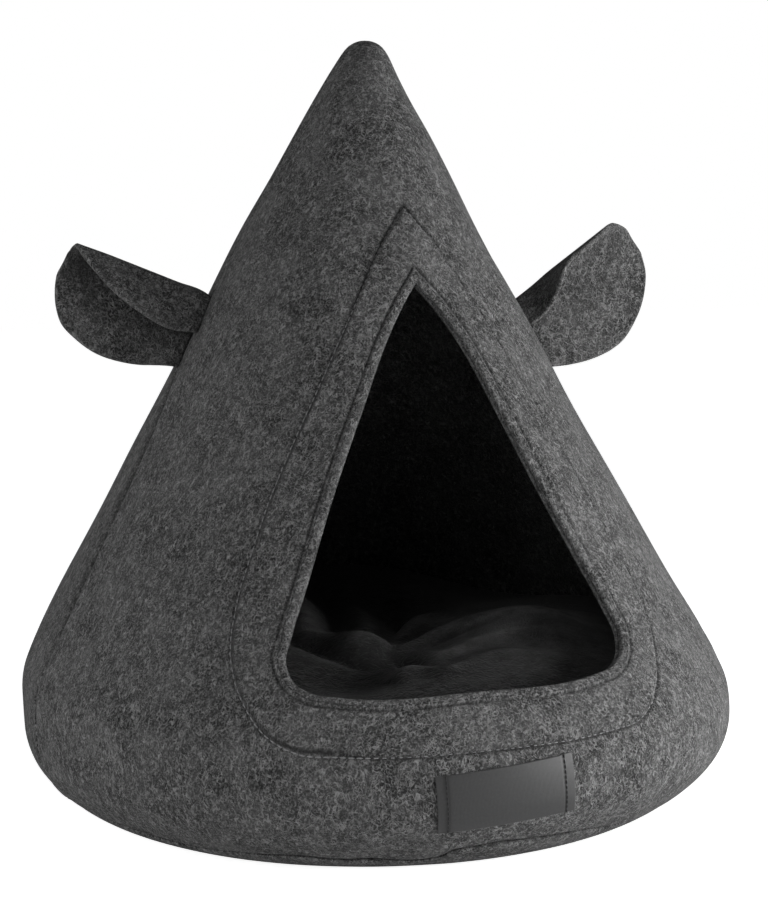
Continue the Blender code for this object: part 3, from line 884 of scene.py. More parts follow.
    def sew(self, name: str, row: int, thread: Material, lift: float,
            ) -> Object:
        """Stitches along one row of the grid.

        Args:
            name: of the piece.
            row: number of the grid's row.
            thread: its finish.
            lift: how far the thread stands off the groove's bottom round the left.

        Returns:
            The new piece.
        """
        turn, height, depth = self.turn[row], self.height[row], self.depth[row]
        left = self.on_left(turn)
        path = self.point(turn, height, depth - lift * left + self.sunk * (1.0 - left))
        up = self.point(turn, height, depth - 1.0 * MM) - self.point(turn, height, depth)
        return add_piece(name, Stitches().mesh(name, path, unit(up), True), thread)


@dataclass
class BackPanel:
    """Back half of the wall, from one side seam round to the other."""

    wall: Wall
    edge_rows: tuple[float, ...] = (0.0, 0.4, 0.9, 1.5, 2.3, 3.4, 5.0)     # mm from its edges
    edge_run: float = 20.0 * MM       # where a half row is shorter, they lie closer together
    seam_shade_bell: SewnLine = SewnLine(0.60, 6.0 * MM)    # share of painted shade, and its width
    half_columns: int = 72
    rows: int = 150

    def quarter(self, side: Side, height: Array) -> Array:
        """Turns from a side seam round to the middle of the back, closest together by the seam.

        Args:
            side: of the doorway.
            height: of each row.

        Returns:
            Rows of turns.
        """
        seam = self.wall.seam_turn(side, height)[:, None]
        run = (math.pi - seam) * self.wall.radius(height)[:, None]
        edge = np.array(self.edge_rows) * MM * np.minimum(run / self.edge_run, 1.0)
        share = np.arange(1, self.half_columns + 1) / self.half_columns
        distance = np.concatenate([edge, edge[:, -1:] + (run - edge[:, -1:]) * share], axis=1)
        even = np.linspace(0.0, 1.0, distance.shape[1])
        part = np.where(run > 0.0, distance / np.maximum(run, 1e-9), even)
        return seam + (math.pi - seam) * part

    def build(self, felt: Material) -> None:
        """Rows by height, columns by distance from the nearer seam, turned about the axis."""
        wall = self.wall
        above = wall.foot + np.array(self.edge_rows) * MM
        height = np.r_[wall.even_heights(above[-1], self.rows), above[-2::-1]]
        right, left = self.quarter(Side.RIGHT, height), self.quarter(Side.LEFT, height)
        turn = np.concatenate([right, FULL_TURN - left[:, -2::-1]], axis=1)
        height = wall.raised_foot(turn, np.repeat(height[:, None], turn.shape[1], axis=1))
        shift = np.array([0.0, wall.seam_gap, 0.0])
        face = wall.point(turn, height, wall.seam_depth(turn, height)) + shift
        back = wall.point(turn, height, FELT) + shift
        # painted shade along both side seams
        painted_shade = wall.painted_seam_shade(turn, height, self.seam_shade_bell)
        mesh = sheet_mesh("back_felt", face, back, False, painted_shade)
        piece = add_piece("back_felt", mesh, felt)
        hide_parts("back_panel")


@dataclass
class BasePanel:
    """Felt disc with its rim turned up to the foot of the wall."""

    wall: Wall
    start_radius: float = 176.0 * MM
    seam_drop: float = 0.2 * MM
    underside: tuple[tuple[float, float], ...] = (  # shares of the run, inwards, and of the height
        (0.0, 1.0), (0.22, 0.62), (0.50, 0.25), (0.76, 0.06), (1.0, 0.0))
    inner_run: float = 0.86           # share of the run over which the inner face comes down
    rim_rows: int = 26
    disc_rows: int = 8
    turns: int = 300

    def build(self, felt: Material) -> None:
        """Turned profile whose top follows the foot line: the outer face in and under, the flat
        disc to its middle, back out on top of it, and up the inner face."""
        wall = self.wall
        turn = np.linspace(0.0, FULL_TURN, self.turns, endpoint=False)
        top = wall.foot_line(turn) - self.seam_drop
        share = spline_through(np.array(self.underside), self.rim_rows)
        inward, level = share[:, :1], np.maximum(share[:, 1:], 0.0)
        outward, _ = wall.normal(top)
        outer = wall.radius(top) + wall.swelling(turn, top) * outward
        roll = round_over((1.0 - level) * top, wall.seam_round)
        inner = outer - FELT / outward
        run = inner - self.start_radius + FELT
        up_radius = inner - inward[::-1] * run * self.inner_run
        up_height = FELT + level[::-1] * (top - FELT)
        middle = np.linspace(0.0, 1.0, self.disc_rows + 1)[1:-1, None]
        flat, centre = np.zeros((len(middle), self.turns)), np.zeros((1, self.turns))
        radius = np.concatenate([
            outer - inward * (outer - self.start_radius) - roll,
            self.start_radius * (1.0 - middle) + flat, centre,
            centre, up_radius[0] * middle, up_radius])
        height = np.concatenate([level * top, flat, centre, centre + FELT, flat + FELT, up_height])
        grid = np.stack([radius * np.sin(turn), -radius * np.cos(turn), height], axis=-1)
        quads = grid_faces(len(grid), self.turns, True)
        last, around = (len(grid) - 1) * self.turns, np.arange(self.turns)
        following = np.roll(around, -1)
        close = np.stack([around, last + around, last + following, following], axis=-1)
        mesh = make_mesh("base_felt", grid.reshape(-1, 3), np.concatenate([quads, close]))
        piece = add_piece("base_felt", mesh, felt)
        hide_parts("base_panel")


# ======== Ears ========
class EarSection(NamedTuple):
    """Depths of the ear's lobe and flap at a place along its fold, in millimetres.

    A flap below 0 is cut away under the fold.
    """

    along: float
    lobe: float
    flap: float


@dataclass(frozen=True)
class EarPattern:
    """The petal that an ear is cut from, and how its fold is bent."""

    sections: tuple[EarSection, ...]
    fold_radius: tuple[float, float] = (2.7 * MM, 7.0 * MM)
    middle: float = 0.45              # share of the fold's length where the middle turn is reached
    ease: float = 0.30                # share over which the fold leaves the wall's normal
    droop_start: float = 0.72
    cup: float = math.radians(24.0)
    rows: int = 90
    columns: int = 96

    @property
    def length(self) -> float:
        """Length of the fold."""
        return self.sections[-1].along * MM

    def depths(self, along: Array) -> tuple[Array, Array]:
        """Depths of the lobe and the flap at places along the fold, on a smooth curve."""
        place, lobe, flap = spline_through(np.array(self.sections) * MM, TABLE_STEPS).T
        return np.interp(along, place, lobe), np.interp(along, place, flap)

    def spread_out(self, along: Array) -> tuple[Array, Array, Array]:
        """Depths of the lobe and flap as columns, and each point's place past the fold's middle."""
        lobe, flap = (depth[:, None] for depth in self.depths(along))
        return lobe, flap, -lobe + (lobe + flap) * np.linspace(0.0, 1.0, self.columns + 1)


@dataclass
class Ear:
    """One ear: the petal sewn into a side seam along one edge and folded over on itself.

    Heights are in millimetres and angles in degrees.
    """

    side: Side
    wall: Wall
    height: float
    rise: float
    sweep: float
    droop: float
    turn_seam: float
    turn_middle: float
    turn_end: float
    pattern: EarPattern
    setback: float = -0.25 * MM
    cut_round: float = 1.2 * MM
    pinch: float = 1.1 * MM           # half the felt's loss of thickness where it is sewn in
    pinch_reach: float = 5.0 * MM
    shade: float = 0.3                # share of painted shadow from the flap, deep in the fold
    shade_cover: float = 0.8          # of the flap's depth
    shade_reach: float = 16.0 * MM

    def sections(self, along: Array) -> tuple[Array, Array]:
        """Cross-sections of the ear, one row for each place along the fold.

        A point of the cloth lies p past the fold's middle. Below -bend the lobe is an arc that
        curls by the cup over its depth; from -bend to bend the cloth turns evenly through the
        fold; past bend the flap is straight.

        Args:
            along: places along the fold.

        Returns:
            (up, forward) points, and their distances to the cloth's edges.
        """
        pattern = self.pattern
        share = along / pattern.length
        seam, middle, end = np.radians([self.turn_seam, self.turn_middle, self.turn_end])
        turn = seam + (middle - seam) * smooth_step(share / pattern.middle)
        turn += (end - middle) * ease(share, pattern.middle, 1.0 - pattern.middle)
        near, far = pattern.fold_radius
        turn, radius = turn[:, None], (near + (far - near) * share)[:, None]
        lobe, _, place = pattern.spread_out(along)
        bend = 0.5 * radius * turn
        curl, below = pattern.cup / lobe, np.maximum(-(place + bend), 0.0)
        past = np.maximum(place - bend, 0.0)
        bent = np.clip(place + bend, 0.0, 2.0 * bend) / radius
        up = -np.sin(curl * below) / curl + radius * np.sin(bent) + past * np.cos(turn)
        forward = (1.0 - np.cos(curl * below)) / curl + radius * (1.0 - np.cos(bent))
        forward += past * np.sin(turn)
        edge = np.minimum(place - place[:, :1], place[:, -1:] - place)
        return np.stack([up, forward], axis=-1), edge

    def middle_surface(self) -> tuple[Array, Array, Array]:
        """The ear's middle surface.

        The fold leaves the wall along its normal, then eases to its own rise and sweep, and droops
        at the end.

        Returns:
            Points, their distances to a cut edge, and the places along the fold.
        """
        pattern, wall, side = self.pattern, self.wall, self.side.value
        along = pattern.length * np.sin(0.5 * math.pi * np.arange(pattern.rows + 1) / pattern.rows)
        grid, edge = self.sections(along)
        height = self.height * MM
        outward, upward = (float(part) for part in wall.normal(height))
        seam_up = np.array([-side * upward, 0.0, outward])
        out = np.array([side * outward, 0.0, upward])
        forward = np.array([0.0, -1.0, 0.0])
        start = wall.point(np.array(side * wall.side_turn), np.array(height), -self.setback)
        tilt = math.radians(self.rise) - math.atan2(upward, outward)
        away = along * smooth_step(along / (pattern.ease * pattern.length))
        share = along / pattern.length
        drooping = ease(share, pattern.droop_start, 1.0 - pattern.droop_start)
        lift = away * math.tan(tilt) - self.droop * MM * drooping
        behind = away * math.tan(math.radians(self.sweep)) + pattern.fold_radius[0]
        spine = (start + along[:, None] * out + lift[:, None] * seam_up
                 - behind[:, None] * forward)
        surface = spine[:, None, :] + grid[..., :1] * seam_up + grid[..., 1:] * forward
        return surface, np.minimum(edge, (pattern.length - along)[:, None]), along

    def shaded(self, along: Array) -> Array:
        """Share of painted shadow from the flap: full under the flap, then a bell down the lobe.

        Args:
            along: places along the fold.

        Returns:
            Share at each point of the petal.
        """
        _, flap, place = self.pattern.spread_out(along)
        beyond = np.maximum(-place - self.shade_cover * flap, 0.0)
        return self.shade * bell(beyond, self.shade_reach) * (place < 0.0)

    def build(self, felt: Material) -> None:
        """Half the felt to each side of the middle surface, rounded at cut edges and pinched at
        the seam.

        The normal is turned to point forward on the lobe, whose front carries the painted shadow.
        """
        surface, edge, along = self.middle_surface()
        normal = unit(np.cross(np.gradient(surface, axis=0), np.gradient(surface, axis=1)))
        normal *= -np.sign(normal[:, 0, 1].sum())
        pinched = 1.0 - self.pinch / (0.5 * FELT) * np.exp(-along / self.pinch_reach)
        half = (cut_edge(edge, FELT, self.cut_round) * pinched[:, None])[..., None]
        name = "ear_left" if self.side is Side.LEFT else "ear_right"
        mesh = sheet_mesh(name + "_felt", surface + half * normal, surface - half * normal, False,
                          self.shaded(along))
        piece = add_piece(name + "_felt", mesh, felt)
        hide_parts(name)
        depth = sum(self.pattern.depths(along))


LEFT_PETAL = EarPattern(tuple(EarSection(*row) for row in (
        (0.0, 47.2, 25.9), (13.4, 52.1, 31.6), (28.7, 56.3, 33.0), (45.4, 57.3, 29.7),
        (58.8, 53.5, 25.7), (69.3, 47.7, 19.4), (76.0, 39.1, 13.1), (80.1, 30.7, 6.7),
        (82.3, 23.7, -0.8), (83.1, 15.7, -7.4),
    )), ease=0.25)
RIGHT_PETAL = EarPattern(tuple(EarSection(*row) for row in (
        (0.0, 46.2, 21.0), (15.1, 53.6, 24.6), (32.3, 59.8, 28.7), (51.1, 61.8, 25.1),
        (66.1, 57.3, 14.6), (77.9, 50.4, 5.9), (85.5, 43.2, 1.9), (90.1, 36.7, -2.7),
        (92.6, 29.5, -7.1), (93.5, 21.0, -12.6),
    )), ease=0.37)


# ======== Cushion ========
class Rumple(NamedTuple):
    """Soft hump or hollow in the cushion's top, in millimetres, or a patch of painted light."""

    x: float
    y: float
    rise: float                       # or the patch's share of painted light
    reach_x: float
    reach_y: float


class Crease(NamedTuple):
    """Ridge (rise above 0) or furrow (below 0) along a line of (x, y) places, in millimetres."""

    rise: float
    reach: float
    line: tuple[tuple[float, float], ...]


@dataclass
class Cushion:
    """Round filled cushion, rumpled on top and flat where it lies on the base."""

    radius: float = 203.0 * MM
    waist: float = 42.0 * MM
    crown: float = 56.0 * MM
    floor: float = 3.35 * MM
    turns: int = 400
    crown_rows: int = 150
    side_rows: int = 34
    fall: tuple[float, float] = (6.0, 0.55)
    side: tuple[tuple[float, float], ...] = (       # shares of the radius and of the drop
        (1.0, 0.0), (0.978, -0.42), (0.92, -0.78), (0.856, -1.0))
    seat: tuple[tuple[float, float], ...] = ((0.6, -1.0), (0.3, -1.0), (0.0, -1.0))
    furrow_round: float = 2.6 * MM    # the bottom of a furrow is rounded by this
    crease_steps: int = 16
    rumples: tuple[Rumple, ...] = tuple(Rumple(*row) for row in (
        (95.0, -40.0, 2.0, 58.0, 50.0), (66.0, -88.0, 15.0, 42.0, 36.0),
        (-38.0, 8.0, 4.0, 42.0, 30.0), (-33.0, -86.0, 8.5, 22.0, 20.0),
        (-95.0, -72.0, 9.0, 34.0, 44.0), (-52.0, -130.0, -11.0, 34.0, 22.0),
        (-20.0, 135.0, 6.0, 110.0, 55.0), (110.0, 95.0, -16.0, 50.0, 60.0),
        (25.0, 12.0, -9.0, 28.0, 34.0), (30.0, 45.0, -8.0, 60.0, 40.0),
    ))
    creases: tuple[Crease, ...] = tuple(Crease(*row) for row in (
        (7.5, 13.0, ((-34.0, 100.0), (-40.0, 50.0), (-46.0, 10.0), (-52.0, -30.0),
            (-60.0, -80.0))),
        (-9.0, 8.0, ((-12.0, 105.0), (-18.0, 40.0), (-27.0, 0.0), (-36.0, -38.0),
            (-50.0, -68.0))),
        (4.0, 8.0, ((10.0, 105.0), (-3.0, 34.0), (-12.0, -10.0), (-20.0, -46.0))),
        (-9.0, 7.0, ((30.0, 60.0), (16.0, 3.0), (4.0, -36.0), (-9.0, -66.0), (-18.0, -92.0))),
        (6.0, 9.0, ((-8.0, -80.0), (9.0, -46.0), (24.0, -31.0), (38.0, -38.0))),
        (-6.0, 4.5, ((-22.0, -99.0), (-8.0, -88.0), (9.0, -72.0), (27.0, -64.0), (44.0, -62.0))),
        (4.0, 5.0, ((-15.0, -101.0), (3.0, -88.0), (22.0, -79.0), (44.0, -76.0))),
        (-3.0, 4.0, ((-14.0, -106.0), (6.0, -98.0), (27.0, -90.0), (52.0, -90.0))),
        (-7.0, 4.5, ((-24.0, -100.0), (-18.0, -112.0), (-10.0, -126.0), (4.0, -140.0))),
        (3.0, 5.0, ((-10.0, -106.0), (4.0, -119.0), (24.0, -112.0), (48.0, -111.0))),
        (-2.4, 4.0, ((4.0, -127.0), (24.0, -119.0), (48.0, -120.0), (70.0, -128.0))),
        (2.5, 7.0, ((6.0, -141.0), (32.0, -129.0), (54.0, -134.0), (78.0, -143.0))),
        (6.0, 8.0, ((-30.0, -138.0), (-14.0, -130.0), (-4.0, -136.0), (4.0, -150.0))),
        (-8.0, 6.0, ((-84.0, -52.0), (-66.0, -76.0), (-50.0, -98.0), (-36.0, -110.0),
            (-22.0, -112.0))),
    ))
    # patches of painted light: the lit humps and thin highlights along the ridges
    painted_light_patches: tuple[Rumple, ...] = tuple(Rumple(*row) for row in (
        (66.0, -76.0, 0.62, 40.0, 28.0), (96.0, -66.0, 0.62, 26.0, 34.0),
        (34.0, -104.0, 0.26, 34.0, 13.0), (10.0, -118.0, 0.22, 20.0, 8.0),
        (64.0, -132.0, 0.24, 42.0, 16.0), (-14.0, -82.0, 0.38, 8.0, 8.0),
        (-49.0, -22.0, 0.27, 13.0, 40.0), (-62.0, -70.0, 0.21, 14.0, 16.0),
        (-33.0, -88.0, 0.30, 15.0, 15.0), (-14.0, -132.0, 0.25, 14.0, 7.0),
        (10.0, -46.0, 0.16, 16.0, 14.0), (30.0, -96.0, 0.30, 22.0, 2.4),
        (46.0, -84.0, 0.32, 26.0, 2.6), (28.0, -76.0, 0.30, 20.0, 2.4),
        (66.0, -66.0, 0.30, 26.0, 3.0), (50.0, -110.0, 0.28, 28.0, 2.6),
        (84.0, -92.0, 0.24, 24.0, 3.0),
    ))

    def profile(self) -> Array:
        """Shares of radius and height from the crown out: (1 - r^a)^b over the top, a smooth side,
        a flat seat.

        Returns:
            Rows of (share of the radius, share of the height).
        """
        power, fall = self.fall
        swing = np.sin(0.5 * math.pi * np.arange(self.crown_rows) / self.crown_rows)
        top = np.stack([swing, (1.0 - swing**power) ** fall], axis=1)
        side = spline_through(np.array(self.side), self.side_rows)
        side[:, 1] = np.maximum(side[:, 1], -1.0)
        return np.concatenate([top, side, np.array(self.seat)])

    @staticmethod
    def heap(x: Array, y: Array, table: tuple[Rumple, ...]) -> Array:
        """Sum of the table's soft patches: each is its rise times a bell in x and a bell in y.

        Args:
            x: places to the right.
            y: places to the back.
            table: of patches.

        Returns:
            The sum at each place.
        """
        total = np.zeros_like(x)
        for patch in table:
            across, along = (x / MM - patch.x) / patch.reach_x, (y / MM - patch.y) / patch.reach_y
            total += patch.rise * np.exp(-(across**2 + along**2))
        return total

    def relief(self, x: Array, y: Array) -> Array:
        """Rise of the top: humps, ridges and furrows.

        A ridge is a bell about its line. A furrow is sharper: it falls off as exp(-d / reach),
        where d is the distance with its start rounded. Both fade out at their ends as the square
        root of a sine.

        Args:
            x: places to the right.
            y: places to the back.

        Returns:
            Rise at each place.
        """
        rise = self.heap(x, y, self.rumples) * MM
        for crease in self.creases:
            line = spline_through(np.array(crease.line) * MM, self.crease_steps)
            near, share = self.line_distance(x, y, line)
            fade = np.sqrt(np.sin(math.pi * np.clip(share, 0.0, 1.0)).clip(0.0))
            reach = crease.reach * MM
            blunt = np.sqrt(near**2 + self.furrow_round**2) - self.furrow_round
            fall_off = bell(near, reach) if crease.rise > 0.0 else np.exp(-blunt / reach)
            rise += crease.rise * MM * fall_off * fade
        return rise

    @staticmethod
    def line_distance(x: Array, y: Array, line: Array) -> tuple[Array, Array]:
        """Distance to a line of straight spans.

        For each span the foot of the perpendicular is held between the span's ends; the nearest
        span wins.

        Args:
            x: places to the right.
            y: places to the back.
            line: rows of (x, y).

        Returns:
            The distance, and the share of the line's length where it is nearest.
        """
        start, way = line[:-1], np.diff(line, axis=0)
        from_x, from_y = x[..., None] - start[:, 0], y[..., None] - start[:, 1]
        t = (from_x * way[:, 0] + from_y * way[:, 1]) / (way**2).sum(axis=1)
        t = np.clip(t, 0.0, 1.0)
        gap = np.hypot(from_x - t * way[:, 0], from_y - t * way[:, 1])
        best = gap.argmin(axis=-1)[..., None]
        near, part = (np.take_along_axis(values, best, axis=-1)[..., 0] for values in (gap, t))
        return near, (best[..., 0] + part) / len(way)

    def build(self, plush: Material) -> None:
        """Turn the profile about the axis and add the relief, weighted by the share of height
        above the waist."""
        profile = self.profile()
        turn = np.linspace(0.0, FULL_TURN, self.turns, endpoint=False)
        radius = self.radius * profile[:, :1]
        x, y = radius * np.sin(turn), -radius * np.cos(turn)
        drop = self.waist - self.floor
        level = np.where(profile[:, 1] > 0.0, self.crown, drop) * profile[:, 1]
        weight = np.clip(profile[:, 1:], 0.0, 1.0)
        height = (self.waist + level)[:, None] + weight * self.relief(x, y)
        grid = np.stack([x, y, height], axis=-1)
        # share of painted light on the lit humps and ridges, kept on the mesh
        pale = weight * np.minimum(self.heap(x, y, self.painted_light_patches), 1.0)
        faces = grid_faces(len(grid), self.turns, True)
        mesh = make_mesh("cushion_plush", grid.reshape(-1, 3), faces, pale)
        piece = add_piece("cushion_plush", mesh, plush)
        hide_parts("cushion")


# ======== Label ========
@dataclass
class Label:
    """Bare satin ribbon, its two ends folded under and sewn down below the doorway."""

    wall: Wall
    width: float = 75.0 * MM
    height: float = 30.5 * MM
    thick: float = 1.1 * MM
    end_round: float = 0.7 * MM
    edge_round: float = 0.5 * MM
    gap: float = 0.2 * MM
    centre_x: float = 9.5 * MM
    centre_z: float = 45.5 * MM
    lean: float = math.radians(3.4)
    hem: float = 5.4 * MM             # width of each folded end
    hem_ease: float = 1.6 * MM
    hem_rise: float = 0.10 * MM       # it stands up by this from near its outer fold on,
    hem_rise_ease: float = 1.2 * MM
    hem_drop: float = 0.45 * MM       # and lies lower outside its stitches
    hem_drop_ease: float = 1.0 * MM
    flat_edge: float = 0.8 * MM       # the relief fades out over this along both long edges
    sewn: SewnLine = SewnLine(0.75 * MM, 0.9 * MM)
    sewn_inset: float = 5.2 * MM
    sewn_over: float = 0.3 * MM       # the stitches run on past each long edge,
    sewn_lift: float = 0.08 * MM      # and lie this far over the ribbon
    stitches: Stitches = Stitches(pitch=2.6 * MM, length=2.3 * MM, radius=0.36 * MM,
                                  sink=0.20 * MM)
    stitch_places: int = 40
    columns: int = 150
    rows: int = 60

    def place(self, across: Array, up: Array, depth: Array) -> Array:
        """Point of the label: turned by its lean and wrapped on the wall.

        Args:
            across: to the right of its middle.
            up: over its middle.
            depth: under the wall's outer face.

        Returns:
            Points, with x, y and z in the last axis.
        """
        x = self.centre_x + across * math.cos(self.lean) - up * math.sin(self.lean)
        height = self.centre_z + across * math.sin(self.lean) + up * math.cos(self.lean)
        turn = np.arcsin((x - self.wall.shift(height)) / self.wall.radius(height))
        return self.wall.point(turn, height, depth) - np.array([0.0, self.wall.seam_gap, 0.0])

    def hems(self, end: Array, edge: Array) -> Array:
        """Rise of the folded ends, less the groove of their stitches and the drop outside it.

        Args:
            end: distance to the nearer end.
            edge: distance to the nearer long edge.

        Returns:
            Rise over the ribbon's plain face.
        """
        rise = self.hem_rise * (1.0 - ease(end, self.hem, self.hem_ease))
        rise = rise * ease(end, 0.0, self.hem_rise_ease) - self.sewn.groove(end - self.sewn_inset)
        outside = 1.0 - ease(end, self.sewn_inset - self.hem_drop_ease, self.hem_drop_ease)
        return (rise - self.hem_drop * outside) * ease(edge, 0.0, self.flat_edge)

    def build(self, ribbon: Material, thread: Material) -> None:
        """Sheet with rounded edges and folded ends, and a row of stitches across each end.

        Args:
            ribbon: finish of the label.
            thread: finish of its stitches.
        """
        across, up = np.meshgrid(*(
            0.5 * size * np.sin(0.5 * math.pi * np.linspace(-1.0, 1.0, count))
            for size, count in ((self.width, self.columns), (self.height, self.rows))))
        end, edge = 0.5 * self.width - abs(across), 0.5 * self.height - abs(up)
        half = np.minimum(cut_edge(end, self.thick, self.end_round),
                          cut_edge(edge, self.thick, self.edge_round))
        middle = -self.gap - 0.5 * self.thick
        rise = np.maximum(self.hems(end, edge), -0.5 * half)
        face = self.place(across, up, middle - half - rise)
        back = self.place(across, up, middle + half)
        mesh = sheet_mesh("label_ribbon", face, back, False)
        piece = add_piece("label_ribbon", mesh, ribbon)
        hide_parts("label")
        line = np.linspace(-0.5, 0.5, self.stitch_places) * (self.height + 2.0 * self.sewn_over)
        over = middle - 0.5 * self.thick - self.sewn_lift
        for side in Side:
            name = f"label_stitches_{side.name.lower()}"
            place = side.value * (0.5 * self.width - self.sewn_inset)
            path = self.place(place, line, over)
            normal = unit(self.place(place, line, over - 1.0 * MM) - path)
            mesh = self.stitches.mesh(name, path, normal, False)
            add_piece(name, mesh, thread)


# ======== Finishes ========
class NodeDesk:
    """Places and joins nodes in one tree."""

    def __init__(self, tree: NodeTree) -> None:
        """Work on a tree."""
        self.tree = tree

    def add(self, kind: str, inputs: dict[str | int, object] | None = None,
            **settings: object) -> Node:
        """Place a node.

        Args:
            kind: of the node.
            inputs: number, colour or output that feeds each named input.
            settings: properties of the node.

        Returns:
            The node.
        """
        node = self.tree.nodes.new(kind)
        for key, value in settings.items():
            setattr(node, key, value)
        self.feed(node, inputs or {})
        return node

    def feed(self, node: Node, inputs: dict[str | int, object]) -> None:
        """Set inputs to numbers or colours, or join them to other nodes' outputs.

        Args:
            node: to set.
            inputs: number, colour or output for each named input.
        """
        for socket, source in inputs.items():
            if isinstance(source, NodeSocket):
                self.tree.links.new(source, node.inputs[socket])
            else:
                node.inputs[socket].default_value = source

    def place(self) -> NodeSocket:
        """Place on the object."""
        return self.add("ShaderNodeTexCoord").outputs["Object"]

    def maths(self, operation: str, *values: object, clamp: bool = False) -> NodeSocket:
        """Output of a Math node."""
        inputs = dict(enumerate(values))
        return self.add("ShaderNodeMath", inputs, operation=operation, use_clamp=clamp).outputs[0]

    def total(self, *terms: tuple[object, float]) -> NodeSocket:
        """Sum of values, each times its share."""
        parts = [self.maths("MULTIPLY", value, share) for value, share in terms]
        return reduce(lambda one, other: self.maths("ADD", one, other), parts)

    def noise(self, vector: object, scale: object, detail: float, roughness: float,
              distortion: float = 0.0) -> NodeSocket:
        """Value of a Noise Texture.

        Args:
            vector: where it is read.
            scale: of the noise.
            detail: of the noise.
            roughness: of the noise.
            distortion: of the noise.

        Returns:
            The value.
        """
        return self.add("ShaderNodeTexNoise", {
            "Vector": vector, "Scale": scale, "Detail": detail, "Roughness": roughness,
            "Distortion": distortion}).outputs["Fac"]

    def spread(self, value: object, low: float, high: float, to_low: float = 0.0,
               to_high: float = 1.0) -> NodeSocket:
        """Map Range, eased at both ends.

        Args:
            value: to map.
            low: value that gives to_low.
            high: value that gives to_high.
            to_low: lower result.
            to_high: higher result.

        Returns:
            The result.
        """
        return self.add("ShaderNodeMapRange", {
            "Value": value, "From Min": low, "From Max": high, "To Min": to_low,
            "To Max": to_high}, interpolation_type="SMOOTHSTEP").outputs[0]

    def blend(self, factor: object, first: object, second: object) -> NodeSocket:
        """Mix of two colours."""
        return self.add("ShaderNodeMix", {0: factor, 6: first, 7: second},
                        data_type="RGBA").outputs[2]

    def bump(self, height: object, distance: float, strength: float) -> NodeSocket:
        """Normal raised by a height."""
        return self.add("ShaderNodeBump", {
            "Height": height, "Distance": distance, "Strength": strength}).outputs[0]


def grey(value: float, cast: float = 1.0) -> tuple[float, float, float, float]:
    """A grey, with its blue times a slight cast."""
    return value, value, value * cast, 1.0


def new_material(name: str) -> tuple[Material, NodeDesk, Node]:
    """A material, a desk on its tree, and its Principled shader.

    Args:
        name: of the material.

    Returns:
        The three of them.
    """
    material = bpy.data.materials.new(name)
    material.use_nodes = True
    return material, NodeDesk(material.node_tree), material.node_tree.nodes["Principled BSDF"]


def shader_group(name: str, inputs: tuple[str, ...], outputs: tuple[str, ...],
                 ) -> tuple[NodeDesk, NodeOutputs, Node]:
    """Empty shader group: a vector and the named numbers go in, and the named numbers come out.

    Args:
        name: of the group.
        inputs: names of the numbers that go in.
        outputs: names of the numbers that come out.

    Returns:
        A desk on its tree, what is given to it, and the node that takes what it puts out.
    """
    tree = bpy.data.node_groups.new(name, "ShaderNodeTree")
    tree.interface.new_socket(name="Vector", in_out="INPUT", socket_type="NodeSocketVector")
    for names, way in ((inputs, "INPUT"), (outputs, "OUTPUT")):
        for socket in names:
            tree.interface.new_socket(name=socket, in_out=way, socket_type="NodeSocketFloat")
    desk = NodeDesk(tree)
    return desk, desk.add("NodeGroupInput").outputs, desk.add("NodeGroupOutput")


class FibreLayer(NamedTuple):
    """How the noise of one layer of fibres is turned and stretched."""

    turn: tuple[float, float, float]
    stretch: float


